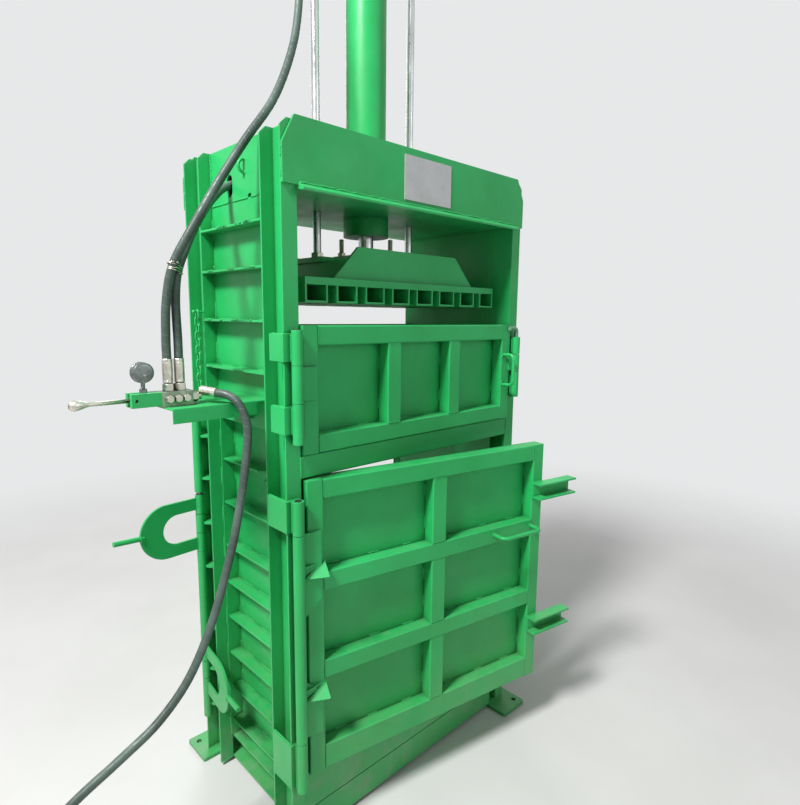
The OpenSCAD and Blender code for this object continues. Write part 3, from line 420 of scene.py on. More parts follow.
def frames_along(points):
    """A frame that doesn't twist at each point: (point, heading, side, other side)."""
    # Any direction that no route sets off in
    side = Vector((0.31, 0.87, 0.39))
    made = []
    for i, p in enumerate(points):
        heading = (points[min(i + 1, len(points) - 1)] - points[max(i - 1, 0)]).normalized()
        side = (side - side.dot(heading) * heading).normalized()
        made.append((p, heading, side, heading.cross(side)))
    return made


def circle(centre, radius, u, w, sides):
    """Points of a circle in the plane of u and w."""
    angles = [2 * math.pi * j / sides for j in range(sides)]
    return [centre + radius * (math.cos(a) * u + math.sin(a) * w) for a in angles]


def band_faces(first, second, sides):
    """Faces between two of a piece's circles."""
    made = []
    for j in range(sides):
        k = (j + 1) % sides
        made.append((first * sides + j, first * sides + k, second * sides + k, second * sides + j))
    return made


def closed_faces(circles, sides):
    """Faces of a tube of circles with a flat cap at each end."""
    faces = []
    for i in range(circles - 1):
        faces += band_faces(i, i + 1, sides)
    last = (circles - 1) * sides
    return faces + [tuple(reversed(range(sides))), tuple(last + j for j in range(sides))]


def tube_mesh(points, radii, sides):
    """Points and faces of a closed round tube; radii holds one radius for each point."""
    verts = []
    for (p, _, u, w), radius in zip(frames_along(points), radii):
        verts += circle(p, radius, u, w, sides)
    return verts, closed_faces(len(points), sides)


def turned_circles(profile, start, heading, sides):
    """Points of a turned piece: profile is (distance along, radius) pairs from start."""
    heading = Vector(heading).normalized()
    side = Vector((0, 1, 0)) if abs(heading.y) < 0.9 else Vector((1, 0, 0))
    u = (side - side.dot(heading) * heading).normalized()
    w = heading.cross(u)
    verts = []
    for along, radius in profile:
        verts += circle(Vector(start) + heading * along, radius, u, w, sides)
    return verts


def lathe(profile, start, heading, sides=48):
    """Points and faces of a turned piece, closed at both ends."""
    return turned_circles(profile, start, heading, sides), closed_faces(len(profile), sides)


def loop_lathe(profile, start, heading, sides):
    """A ring: profile is a closed loop of (distance along, radius)."""
    faces = []
    for i in range(len(profile)):
        faces += band_faces(i, (i + 1) % len(profile), sides)
    return turned_circles(profile, start, heading, sides), faces


# Hoses

HOSE = 22.0
HOSE_SIDES = 24
CAP_ROUTE = [
    (-715, -70, 1420), (-715, -70, 1470), (-712, -76, 1560), (-698, -94, 1650), (-650, -118, 1750),
    (-590, -122, 1850), (-508, -120, 1972), (-420, -112, 2090), (-350, -85, 2215), (-300, -55, 2340),
    (-270, -30, 2500), (-262, -15, 2660), (-275, -5, 2800), (-290, 0, 2895), (-278, 0, 2940),
    (-245, 0, 2973), (-200, 0, 2985), (-150, 0, 2985), (-122, 0, 2985),
]
ROD_ROUTE = [
    (-685, -70, 1420), (-685, -70, 1470), (-687, -72, 1560), (-682, -78, 1630), (-658, -74, 1690),
    (-620, -46, 1748), (-575, -8, 1800), (-528, 28, 1846), (-480, 52, 1885), (-420, 66, 1910),
    (-340, 84, 1922), (-260, 96, 1925), (-200, 98, 1925), (-150, 86, 1925), (-120, 69, 1925),
]
SUPPLY_ROUTE = [
    (-606, -110, 1328), (-590, -138, 1324), (-575, -164, 1306), (-565, -180, 1270), (-562, -188, 1220),
    (-575, -186, 1110), (-595, -182, 1000), (-622, -178, 890), (-672, -175, 740), (-738, -172, 610),
    (-820, -170, 525), (-914, -165, 470), (-1020, -155, 410), (-1120, -140, 325), (-1210, -120, 220),
    (-1290, -100, 120), (-1360, -82, 50), (-1410, -72, 18), (-1440, -66, 11),
]
COIL_CENTRE = (-1480, 60)
COIL_RADIUS = 125
COIL_STEP = 15.0
# The hose lies this far over the floor
FLOOR_GAP = 0.4
# The coil draws in over its first degrees, so that the route meets it without a kink
DRAW_IN, DRAW_IN_OVER = 7, 60
# Degrees at which the coil starts, for which it runs, and over which it climbs on itself
COIL_START, COIL_SWEEP = -72.4, 566.6
CLIMB_FROM, CLIMB_TO = 285.0, 352.0


def coil_point(turned):
    """The hose's middle after so many degrees of the coil."""
    angle = math.radians(COIL_START - turned)
    ease = max(0.0, 1 - turned / DRAW_IN_OVER)
    radius = COIL_RADIUS + DRAW_IN * ease * ease
    climb = min(max((turned - CLIMB_FROM) / (CLIMB_TO - CLIMB_FROM), 0), 1)
    climb = climb * climb * (3 - 2 * climb)
    return (COIL_CENTRE[0] + radius * math.cos(angle), COIL_CENTRE[1] + radius * math.sin(angle),
            HOSE / 2 + HOSE * climb + FLOOR_GAP)


def coil_route():
    """Points of the wound part, clockwise seen from above."""
    whole = int(COIL_SWEEP // COIL_STEP)
    return [coil_point(COIL_STEP * (i + 1)) for i in range(whole)] + [coil_point(COIL_SWEEP)]


def hose(name, points, stands_for):
    """One hose as a smooth tube that stands for the CAD's hose parts; its UVs run along its real length."""
    verts, faces = tube_mesh(points, [HOSE / 2] * len(points), HOSE_SIDES)
    along = [0.0]
    for a, b in zip(points, points[1:]):
        along.append(along[-1] + (b - a).length * MM)
    uvs = []
    for low, high in zip(along, along[1:]):
        for j in range(HOSE_SIDES):
            u0, u1 = j / HOSE_SIDES, (j + 1) / HOSE_SIDES
            uvs += [(u0, low), (u1, low), (u1, high), (u0, high)]
    uvs += [(0, 0)] * HOSE_SIDES * 2
    piece = add_mesh(name, verts, faces, "press_frame", "hose_rubber", uvs=uvs)
    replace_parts(piece, *stands_for)


hose("hose_to_cylinder_top", spline(CAP_ROUTE, 8), ["cap_hose"])
hose("hose_to_cylinder_foot", spline(ROD_ROUTE, 8), ["rod_hose"])
hose("hose_from_supply", spline(SUPPLY_ROUTE + coil_route(), 6), ["supply_hose", "supply_coil"])


# Trim pieces: all ride on a body and sit where the CAD says

class Parts:
    """Gathers the points and faces of one piece."""

    def __init__(self):
        self.verts, self.faces = [], []

    def add(self, made, turn=None):
        verts, faces = made
        shift = len(self.verts)
        self.verts.extend(turn @ Vector(v) if turn is not None else v for v in verts)
        self.faces.extend(tuple(i + shift for i in face) for face in faces)

    def piece(self, name, body="press_frame", slot="green_paint", **more):
        return add_mesh(name, self.verts, self.faces, body, slot, **more)


def turned(profile, start, heading, sides, shape):
    """A turned piece whose circles are bent by shape(angle, radius)."""
    verts, faces = lathe(profile, start, heading, sides)
    heading = Vector(heading).normalized()
    bent = []
    for i, (along, radius) in enumerate(profile):
        middle = Vector(start) + heading * along
        for j in range(sides):
            v = verts[i * sides + j]
            bent.append(middle + (v - middle) * shape(2 * math.pi * j / sides, radius) / radius)
    return bent, faces


def flats(count, reach, over=0.0):
    """A shape that cuts the profile's circles off at so many flats."""
    def shape(angle, radius):
        off = (angle + math.pi / count) % (2 * math.pi / count) - math.pi / count
        return min(radius, reach / math.cos(off) + over)
    return shape


def hex_head(across, height, start, heading):
    """A hexagon with the turned chamfers of a nut or a bolt head."""
    flat, full = across / 2, across / 2 / math.cos(math.pi / 6)
    rise = (full - flat) * 0.6
    profile = [(0, flat * 0.97), (rise * 0.35, flat * 1.05), (rise, full),
               (height - rise, full), (height - rise * 0.35, flat * 1.05), (height, flat * 0.97)]
    return turned(profile, start, heading, 72, flats(6, across / 2))


# Weld beads

BEAD = 3.0
RIPPLE = 6.0
BEAD_STEP = 2.0
BEAD_SIDES = 6
# Shares of a bead's radius: its least, a ripple's rise, how much it varies, and its ends
BEAD_LEAST, BEAD_RISE, BEAD_VARIES, BEAD_END = 0.78, 0.30, 0.09, 0.5
BEAD_WANDER = 0.35


def bead(route, radius):
    """A hand-laid bead along a route: it ripples, wanders and tapers at its ends."""
    points, radii = [], []
    run = 0.0
    for a, b in zip(route, route[1:]):
        a, b = Vector(a), Vector(b)
        count = max(1, round((b - a).length / BEAD_STEP))
        for i in range(count):
            points.append(a.lerp(b, i / count))
            ripple = BEAD_RISE * abs(math.sin(math.pi * run / RIPPLE))
            radii.append(radius * (BEAD_LEAST + ripple + random.uniform(-BEAD_VARIES, BEAD_VARIES)))
            run += (b - a).length / count
    points.append(Vector(route[-1]))
    radii.append(radius * BEAD_END)
    radii[0] = radius * BEAD_END
    wander = [Vector([random.uniform(-BEAD_WANDER, BEAD_WANDER) for _ in range(3)]) for _ in points]
    return tube_mesh([p + w for p, w in zip(points, wander)], radii, BEAD_SIDES)


def stitched(a, b, run, gap):
    """Routes of short beads from a to b, about run long."""
    a, b = Vector(a), Vector(b)
    length = (b - a).length
    way = (b - a) / length
    count = max(1, int((length + gap) // (run + gap)))
    spare = (length - count * run) / count
    routes = []
    for i in range(count):
        first = spare * (i + 0.5) + i * run + random.uniform(-6, 6)
        last = first + run + random.uniform(-8, 8)
        routes.append((a + way * max(first, 1), a + way * min(last, length - 1)))
    return routes


def ring(centre, radius, normal="z", count=28):
    """A closed round route about an axis; the bead's ends meet."""
    points = []
    for i in range(count + 1):
        angle = 2 * math.pi * i / count
        c, s = math.cos(angle) * radius, math.sin(angle) * radius
        off = {"z": (c, s, 0), "y": (c, 0, s), "x": (0, c, s)}[normal]
        points.append(tuple(o + q for o, q in zip(centre, off)))
    return points


def mirrored(routes, sx, sy=1):
    return [[(p[0] * sx, p[1] * sy, p[2]) for p in route] for route in routes]


def beads(parts, routes, radius, turn=None):
    for route in routes:
        parts.add(bead(route, radius), turn)


UPPER_RIBS = (1372, 1511, 1652, 1770)
LOWER_RIBS = (155, 280, 402, 532, 654, 780, 928)
RIB_THICK = 6
# Outer faces of the walls and columns, as distances from the machine's middle
INSET, WALL, COLUMN_SIDE, COLUMN_FRONT = 415, 461, 500, 270
# Front face of the shut doors, and planes of the beads on it and round the panels
DOOR_FACE, DOOR_BEADS, PANEL_BEADS = -280, -280.5, -236.5
# Inner edge of the doors' stiles
STILE = 401


def side_welds():
    """Ribs, corner strips and wall plates, left and right."""
    parts = Parts()
    for sx in (1, -1):
        routes = []
        for z in UPPER_RIBS:
            top = z + RIB_THICK
            routes += stitched((WALL, -160, top), (WALL, 160, top), 60, 45)
            for y in (-170, 170):
                routes += [[(463, y, level), (498, y, level)] for level in (top, z)]
            # Short rough spots along the free edge
            for _ in range(5):
                y = random.uniform(-150, 150)
                routes.append([(COLUMN_SIDE, y, z + 5), (COLUMN_SIDE, y + random.uniform(8, 22), z + 5)])
        for z in LOWER_RIBS:
            top = z + RIB_THICK
            routes += stitched((INSET, -155, top), (INSET, 155, top), 60, 50)
            for y in (-164, 164):
                routes.append([(417, y, top), (454, y, top)])
        routes += stitched((INSET, -60, 1078), (INSET, 155, 1078), 60, 50)
        # Lower edge of the beam's side plate, on either side of the notch
        routes.append([(WALL, -168, 1848), (WALL, -62, 1848)])
        routes.append([(WALL, -42, 1848), (WALL, 168, 1848)])
        for y in (-170, 170):
            routes += stitched((WALL, y, 1215), (WALL, y, 1845), 70, 60)
            routes.append([(WALL, y, 1852), (WALL, y, 1996)])
            routes += stitched((WALL, y, 104), (WALL, y, 1205), 60, 70)
            inner = y - math.copysign(6, y)
            routes += stitched((INSET, inner, 104), (INSET, inner, 1205), 50, 80)
        beads(parts, mirrored(routes, sx), BEAD)
    parts.piece("side_welds")


def beam_welds():
    """Cross-head, column feet and cross bars."""
    parts = Parts()
    routes = []
    for sx, sy in ((1, 1), (1, -1), (-1, 1), (-1, -1)):
        # Face plate against the column, below and along its side
        routes += mirrored([[(457, 270, 1848), (499, 270, 1848)]], sx, sy)
        routes += mirrored(stitched((COLUMN_SIDE, 271, 1854), (COLUMN_SIDE, 271, 1938), 30, 22), sx, sy)
        # Column foot
        foot = 12.5
        foot_routes = [[(457, y, foot), (499, y, foot)] for y in (270.5, 169.5)]
        routes += mirrored(foot_routes + [[(461.5, 180, foot), (461.5, 260, foot)]], sx, sy)
        # Cross bars against the column
        for z0, z1 in ((104, 218), (1103, 1159)):
            routes += mirrored([[(455, 270, z0), (455, 270, z1)]], sx, sy)
    beads(parts, routes, 2.4)
    # The bead between the folded lip and the face plate wanders
    lip = []
    x = -452.0
    while x < 452:
        lip.append((x, -279.5, 1853 + random.uniform(-1.2, 1.6)))
        x += random.uniform(9, 16)
    lip.append((452, -279.5, 1853))
    beads(parts, [lip], 3.6)
    for s in (-200, 200):
        beads(parts, [ring((s, 0, 2000), 23)], 2.6)
    for sx in (1, -1):
        for z in (1915, 1951):
            beads(parts, [ring((WALL * sx, -28, z), 4.5, "x", 12)], 2.0)
    beads(parts, [ring((0, 0, 2000), 65.5, "z", 60)], 2.0)
    beads(parts, [ring((-74.5, 0, 2985), 18.5, "x")], 2.4)
    parts.piece("beam_welds")


# z range, leg, pivot and knuckle radius of each corner bracket, drawn at the right front corner
BALE_BRACKETS = ((962, 1048, 90, 480, 292, 16), (206, 340, 90, 480, 292, 16))
FEED_BRACKETS = ((1414, 1484, 60, 474, 290, 15), (1226, 1297, 60, 474, 290, 15))
LATCH_BRACKETS = ((1403, 1457, 40, 472, 290, 15), (1247, 1332, 40, 472, 290, 15))


def bracket_routes(z0, z1, leg, ax, ay, radius):
    """Beads of one bracket; its plate meets the knuckle 12 mm on either side of the pivot."""
    seat = math.sqrt(radius ** 2 - 12 ** 2) - ay
    return [
        [(COLUMN_SIDE, leg - COLUMN_FRONT, z0 + 3), (COLUMN_SIDE, leg - COLUMN_FRONT, z1 - 3)],
        [(500.5, -268, z0), (500.5, -272 + leg, z0)],
        [(500.5, -268, z1), (500.5, -272 + leg, z1)],
        [(460, -270.5, z0 + 3), (460, -270.5, z1 - 3)],
        [(462, -270.5, z1), (500, -270.5, z1)],
        [(ax - 12, seat + 1, z0 + 2), (ax - 12, seat + 1, z1 - 2)],
        [(ax + 12, seat + 1, z0 + 2), (ax + 12, seat + 1, z1 - 2)],
    ]


# Heights of the hasps' gussets in the open columns, rear left and front right
HASP_GUSSETS = ((-1, (1140, 1000, 850, 700, 480, 331, 200)), (1, (1160, 1060, 931, 780, 580, 431, 260)))


def bracket_welds():
    """Hinge and latch brackets, the hasps' gussets and the valve shelf."""
    parts = Parts()
    for row in BALE_BRACKETS:
        routes = bracket_routes(*row)
        beads(parts, mirrored(routes, -1, 1), 2.4)
        beads(parts, mirrored(routes, 1, -1), 2.4)
    for row in FEED_BRACKETS:
        beads(parts, mirrored(bracket_routes(*row), -1, 1), 2.2)
    for row in LATCH_BRACKETS:
        beads(parts, bracket_routes(*row), 2.2)
    for s, heights in HASP_GUSSETS:
        for z in heights:
            top = z + 8
            routes = [[(WALL, 180, top), (WALL, 258, top)], [(463, 264, top), (497, 264, top)]]
            beads(parts, mirrored(routes, s, -s), 2.2)
    # Valve shelf against the wall, its apron and its stay
    beads(parts, [[(-461.5, -134, 1300), (-461.5, 56, 1300)], [(-733, -138, 1300), (-510, -138, 1300)],
                  [(-464, -30, 1294), (-670, -30, 1294)], [(-461.5, -30, 1236), (-461.5, -30, 1292)],
                  [(-461.5, -36, 1236), (-461.5, -36, 1292)]], 2.0)
    parts.piece("bracket_welds")


def ram_welds():
    """Platen stiffeners, platen channels and the rod's flange."""
    parts = Parts()
    for sy in (1, -1):
        routes = stitched((-296, 215, 1633), (296, 215, 1633), 70, 40)
        for x in (-235, -110, 110, 235):
            for s in (-5, 5):
                routes.append([(x + s, 205, 1637), (x + s, 205, 1688)])
                routes += stitched((x + s, 20, 1633), (x + s, 200, 1633), 45, 45)
        for i in range(8):
            x = (i - 3.5) * 105
            for s in (-37.5, 37.5):
                routes.append([(x + s, 226, 1612.5), (x + s, 172, 1612.5)])
        for x in (-235, -110, 110, 235):
            routes.append([(x - 5, 20, 1690), (x - 5, 86, 1690)])
        beads(parts, mirrored(routes, 1, sy), 2.4)
    beads(parts, [ring((0, 0, 1727), 26, "z", 36)], 3.0)
    parts.piece("ram_welds", "ram")


def frame_seams(rails, muntins, panels):
    """Beads of a door drawn shut at the front: ground butt seams and stitches round each panel."""
    ground, fillets = [], []
    for z0, z1 in rails:
        for s in (-1, 1):
            ground.append([(s * STILE, DOOR_FACE, z0 + 4), (s * STILE, DOOR_FACE, z1 - 4)])
    for x0, x1, z0, z1 in muntins:
        for z in (z0, z1):
            ground.append([(x0 + 3, DOOR_FACE, z), (x1 - 3, DOOR_FACE, z)])
    for x0, x1, z0, z1 in panels:
        for a, b in (((x0, z0), (x1, z0)), ((x1, z0), (x1, z1)), ((x1, z1), (x0, z1)), ((x0, z1), (x0, z0))):
            fillets += stitched((a[0], PANEL_BEADS, a[1]), (b[0], PANEL_BEADS, b[1]), 34, 95)
    return ground, fillets


def on_front(*lines):
    """Straight routes on the front of a shut door, each given as x, z, x, z."""
    return [[(x0, DOOR_BEADS, z0), (x1, DOOR_BEADS, z1)] for x0, z0, x1, z1 in lines]


BALE_RAILS = ((226, 301), (511 + 2 / 3, 566 + 2 / 3), (777 + 1 / 3, 832 + 1 / 3), (1040, 1095))
MIDDLE_BAR = (-30, 25)


def bale_welds(name, body, turn, lugs):
    """A bale door's own beads; lugs are its hasp lugs' heights."""
    gaps = [(a[1], b[0]) for a, b in zip(BALE_RAILS, BALE_RAILS[1:])]
    left, right = MIDDLE_BAR
    panels = [(x0, x1, a, b) for a, b in gaps for x0, x1 in ((-STILE, left), (right, STILE))]
    ground, fillets = frame_seams(BALE_RAILS, [(left, right, a, b) for a, b in gaps], panels)
    # Leaves of the hinge pipe, upper and lower
    routes = on_front((-412, 764, -412, 952), (-449, 728, -413, 760), (-449, 955, -414, 955))
    routes.append([(-464, -288, 706), (-464, -288, 952)])
    routes += on_front((-412, 360, -412, 477), (-449, 512, -413, 481))
    routes.append([(-464, -288, 360), (-464, -288, 534)])
    for z in (500, 506, 860, 866):
        routes += on_front((-449, z, -400, z))
    for z in lugs:
        routes += on_front((402, z + 28, 449, z + 28), (402, z - 28, 449, z - 28))
        routes += on_front((STILE, z - 24, STILE, z + 24))
    parts = Parts()
    beads(parts, ground, 1.1, turn)
    beads(parts, fillets + routes, 2.4, turn)
    if body == "bale_door":
        for x in (230, 400):
            beads(parts, [ring((x, DOOR_BEADS, 806), 8, "y", 14)], 2.0, turn)
    parts.piece(name, body)


WING_THICK = 5.0
WING_HEIGHTS = (826, 466)


def hinge_wings(name, body, turn):
    """Sloping triangular tabs that brace the hinge pipe against the stile."""
    parts = Parts()
    for z in WING_HEIGHTS:
        low, high, out = Vector((-465, -291, z)), Vector((-399, -280, z + 36)), Vector((-401, -317, z + 3))
        across = (out - low).cross(high - low).normalized() * WING_THICK
        corners = []
        for a, b in ((low, out), (out, high), (high, low)):
            corners += [a.lerp(b, 0.06), a.lerp(b, 0.94)]
        n = len(corners)
        faces = [tuple(reversed(range(n))), tuple(range(n, 2 * n))]
        faces += [(i, (i + 1) % n, n + (i + 1) % n, n + i) for i in range(n)]
        parts.add((corners + [c + across for c in corners], faces), turn)
        beads(parts, [[low.lerp(high, 0.08) + across, low.lerp(high, 0.94) + across]], 2.2, turn)
    parts.piece(name, body, smooth=False)


FEED_RAILS = ((1165, 1215), (1453, 1505))
FEED_BARS = ((-151, -97), (120, 174))
FEED_PANELS = ((-STILE, -151), (-97, 120), (174, STILE))


def feed_welds():
    """The feed door's own beads."""
    low, high = FEED_RAILS[0][1], FEED_RAILS[1][0]
    bars, panels = ([(x0, x1, low, high) for x0, x1 in row] for row in (FEED_BARS, FEED_PANELS))
    ground, fillets = frame_seams(FEED_RAILS, bars, panels)
    routes = on_front((-411, 1315, -411, 1396), (-449, 1399, -413, 1399), (-449, 1312, -413, 1312),
                      (437, 1343, 437, 1392), (439, 1394, 450, 1394), (439, 1341, 450, 1341))
    parts = Parts()
    beads(parts, ground, 1.1)
    beads(parts, fillets + routes, 2.4)
    for z in (1297, 1393):
        beads(parts, [ring((412, DOOR_BEADS, z), 7, "y", 14)], 2.0)
    parts.piece("feed_door_welds", "feed_door")


def turned_about(x, y, degrees):
    """The turn of a door about its upright hinge line."""
    turn = Matrix.Rotation(math.radians(degrees), 4, "Z")
    return Matrix.Translation((x, y, 0)) @ turn @ Matrix.Translation((-x, -y, 0))


def hasp_welds():
    """Beads of each hasp's lugs and nut, drawn along X from its pivot."""
    hasps = (("rear_upper_hasp", (-507, 240, 854), 185), ("rear_lower_hasp", (-507, 240, 335), 264),
             ("front_upper_hasp", (507, -240, 935), 86), ("front_lower_hasp", (507, -240, 435), 86))
    for name, place, degrees in hasps:
        turn = Matrix.Translation(place) @ Matrix.Rotation(math.radians(degrees), 4, "Z")
        parts = Parts()
        routes = [[(13.2, y, s * 50), (13.2, y, s * 86)] for s in (-1, 1) for y in (-4.5, 4.5)]
        routes.append(ring((199, 0, 0.5), 8.5, "x", 14))
        beads(parts, routes, 2.2, turn)
        parts.piece(name + "_welds", name + "_body")


FRONT_TURN = turned_about(-480, -292, -10.5)
REAR_TURN = Matrix.Rotation(math.pi, 4, "Z") @ turned_about(-480, -292, -150)

side_welds()
beam_welds()
bracket_welds()
ram_welds()
bale_welds("bale_door_welds", "bale_door", FRONT_TURN, (435, 935))
bale_welds("rear_door_welds", "rear_door", REAR_TURN, (335, 854))
hinge_wings("bale_hinge_tabs", "bale_door", FRONT_TURN)
hinge_wings("rear_hinge_tabs", "rear_door", REAR_TURN)
feed_welds()
hasp_welds()


# Fittings, nuts and bolts that stand for the CAD's plain ones

UP = (0, 0, 1)


def crimped(start, heading, length):
    """A hose ferrule: eight crimped flats between two round collars."""
    profile = [(0, 11.5), (1, 12.8), (5, 12.8), (6.2, 12.2), (8, 12.75), (length - 10, 12.75),
               (length - 8.5, 12.2), (length - 7, 12.8), (length - 1.2, 12.8), (length, 11.8)]
    return turned(profile, start, heading, 64, flats(8, 12.0, 0.25))


def plug(start, heading):
    """A hexagon plug with a washer under it."""
    across, height = 17, 9
    heading = Vector(heading)
    body = Parts()
    body.add(lathe([(0, across * 0.56), (0.3, across * 0.58), (1.4, across * 0.58), (1.6, across * 0.56)],
                   start, heading, 40))
    body.add(hex_head(across, height - 1.6, Vector(start) + heading * 1.6, heading))
    return body.verts, body.faces


def fittings():
    """Fittings of the valve and the cylinder's two ports."""
    parts = Parts()
    for x in (-715, -685):
        parts.add(hex_head(26, 19, (x, -70, 1338.2), UP))
        parts.add(lathe([(0, 9), (2, 9), (2.6, 9)], (x, -70, 1357), UP, 32))
        parts.add(crimped((x, -70, 1359), UP, 60.5))
    for x in (-722, -700, -678):
        parts.add(plug((x, -92, 1320), (0, -1, 0)))
    parts.add(hex_head(27, 19.5, (-660, -70, 1320), (1, 0, 0)))
    parts.add(lathe([(0, 9.4), (0.6, 10), (9.4, 10), (10, 9.4)], (-640.5, -70, 1320), (1, 0, 0), 32))
    # Ferrule of the supply hose
    first, second = (Vector(p) for p in SUPPLY_ROUTE[:2])
    way = (second - first).normalized()
    parts.add(crimped(first - way * 46, way, 46))
    # Port of the upper end of the cylinder
    parts.add(hex_head(27, 14, (-92, 0, 2985), (-1, 0, 0)))
    parts.add(lathe([(0, 12.6), (0.6, 13), (15.4, 13), (16, 12.4)], (-106, 0, 2985), (-1, 0, 0), 48))
    # Port of the lower end
    out = Vector((math.cos(math.radians(150)), math.sin(math.radians(150)), 0))
    foot = Vector((0, 0, 1925))
    parts.add(hex_head(27, 14, foot + out * 95, out))
    parts.add(lathe([(0, 12.6), (0.6, 13), (28.8, 13), (29.4, 12.4)], foot + out * 109, out, 48))
    piece = parts.piece("hose_fittings", slot="zinc_steel", smooth=False)
    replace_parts(piece, "valve_fittings")


def screw(start, heading, radius, length):
    """A threaded rod, its thread cut as rings."""
    pitch = 2.0
    root, tip = radius * 0.90, radius * 0.86
    profile = [(0, tip)]
    along = 1.0
    while along < length - 1.0 - pitch / 2:
        profile += [(along, radius), (along + pitch / 2, root)]
        along += pitch
    profile.append((length, tip))
    return lathe(profile, start, heading, 24)


def nuts_and_bolts():
    """Nuts and studs of the ram, bolts of the cylinder and the guides."""
    parts = Parts()
    for x in (-200, 200):
        for z in (1670, 1705):
            parts.add(hex_head(36, 20, (x, 0, z), UP))
    for x in (-58, 58):
        for y in (-58, 58):
            parts.add(screw((x, y, 1676), UP, 8, 108))
            for z in (1677, 1727):
                parts.add(hex_head(24, 13, (x, y, z), UP))
    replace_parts(parts.piece("ram_nuts", "ram", "zinc_steel", smooth=False), "platen_nuts")
    parts = Parts()
    for i in range(6):
        a = math.radians(30 + 60 * i)
        parts.add(hex_head(24, 10, (100 * math.cos(a), 100 * math.sin(a), 1890), UP))
    for x in (-200, 200):
        for off in (-34, 34):
            parts.add(lathe([(0, 8.6), (0.3, 9), (1.5, 9), (1.8, 8.6)], (x + off, 0, 2104), UP, 32))
            parts.add(hex_head(17, 6.2, (x + off, 0, 2105.8), UP))
    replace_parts(parts.piece("deck_bolts", slot="zinc_steel", smooth=False), "frame_bolts")


def lever():
    """Valve lever: eye, round shaft and turned grip."""
    parts = Parts()
    pivot = Vector((-800, -70, 1321))
    eye = [(-7, 4.2), (-7, 9.2), (-6.2, 10), (6.2, 10), (7, 9.2), (7, 4.2)]
    parts.add(loop_lathe(eye, pivot, (0, 1, 0), 40))
    shaft = [(9.4, 3.0), (9.6, 5.3), (100, 5.3), (104, 5.9), (107, 7.0), (109, 7.6)]
    grip = [(111, 8.3), (115, 9.6), (120, 11.2), (126, 12.4), (131, 12.8), (135, 12.4), (138.5, 11.2),
            (141.3, 9.2), (143, 6.6), (143.8, 3.4)]
    parts.add(lathe(shaft + grip, pivot, (-1, 0, 0), 40))
    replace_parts(parts.piece("lever", "valve_lever_body", "zinc_steel"), "valve_lever")


fittings()
nuts_and_bolts()
lever()


# Pressure gauge: a plain back towards the front, as photographed, and a dial towards the rear

GAUGE_X, GAUGE_Z = -777, 1388
GAUGE_STEM = (GAUGE_X, -70, 1338)
GAUGE_BACK, GAUGE_FLOOR = -84, -58.8
# From the crowned back over the side and the bezel to the recess that holds the dial
GAUGE_CASE = [(0, 8), (0.35, 16), (1.1, 21), (2.3, 24), (4.2, 25), (19.5, 25), (19.9, 25.7), (20.6, 26),
              (25, 26), (26.2, 25.6), (27, 24.8), (27.4, 23.6), (26.6, 22.6), (25.2, 22.3)]
GAUGE_BOSS = [(0, 3.5), (0.7, 6), (1.2, 8), (1.8, 9.5)]
SCALE_SPACES, SCALE_RADIUS = 50, 19.8
# Degrees: the scale runs clockwise from its first stroke; the needle rests past it
SCALE_FIRST, SCALE_SWEEP, NEEDLE_REST = 225, 270, 222


def slab(corners, low, high):
    """A flat plate between two offsets of its four corners."""
    return ([c + high for c in corners] + [c + low for c in corners],
            [(0, 1, 2, 3), (7, 6, 5, 4), (0, 4, 5, 1), (1, 5, 6, 2), (2, 6, 7, 3), (3, 7, 4, 0)])


def dial_ways(angle):
    """Outward and sideways directions on the dial, as seen from behind the machine."""
    return Vector((-math.cos(angle), 0, math.sin(angle))), Vector((math.sin(angle), 0, math.cos(angle)))


def gauge():
    """Case with its stem, dial, strokes with the needle, and glass."""
    rear = (0, 1, 0)

    def place(over_floor):
        return Vector((GAUGE_X, GAUGE_FLOOR + over_floor, GAUGE_Z))

    case = Parts()
    case.add(hex_head(17, 10, GAUGE_STEM, UP))
    stem = [(0, 5), (1, 5.6), (3, 5.6), (4, 5), (15, 5)]
    case.add(lathe(stem, Vector(GAUGE_STEM) + Vector((0, 0, 10)), UP))
    case.add(lathe(GAUGE_CASE, (GAUGE_X, GAUGE_BACK, GAUGE_Z), rear, 96))
    case.add(lathe(GAUGE_BOSS, (GAUGE_X, GAUGE_BACK - 0.5, GAUGE_Z - 10), rear, 32))
    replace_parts(case.piece("gauge_case", slot="gauge_case", smooth=False), "pressure_gauge")
    face = Parts()
    face.add(lathe([(0.1, 22), (0.6, 22)], place(0), rear, 64))
    face.piece("gauge_dial", slot="gauge_case", smooth=False, material=DIAL_WHITE)
    marks = Parts()
    for i in range(SCALE_SPACES + 1):
        inner, half = (15.3, 0.38) if i % 5 == 0 else (17.5, 0.20)
        way, across = dial_ways(math.radians(SCALE_FIRST - SCALE_SWEEP * i / SCALE_SPACES))
        near, far = way * inner, way * SCALE_RADIUS
        corners = [near - across * half, far - across * half, far + across * half, near + across * half]
        marks.add(slab(corners, place(0.55), place(0.85)))
    way, across = dial_ways(math.radians(NEEDLE_REST))
    outline = [way * -5 - across * 1.1, way * 17 - across * 0.25,
               way * 17 + across * 0.25, way * -5 + across * 1.1]
    marks.add(slab(outline, place(0.95), place(1.25)))
    marks.add(lathe([(0.55, 2.4), (1.3, 2.4), (1.4, 1.8), (1.45, 0.9)], place(0), rear, 24))
    marks.piece("gauge_marks", slot="gauge_case", smooth=False, material=DIAL_BLACK)
    lens = Parts()
    lens.add(lathe([(1.6, 22.3), (2.0, 22.3), (2.2, 16), (2.3, 6)], place(0), rear, 48))
    lens.piece("gauge_glass", slot="gauge_case", material=GLASS)


gauge()


# Wire tie that holds the two cylinder hoses together

# Radius of the wire round the hoses, and of its twisted ends
TIE_WIRE, TIE_ENDS = 1.15, 1.1


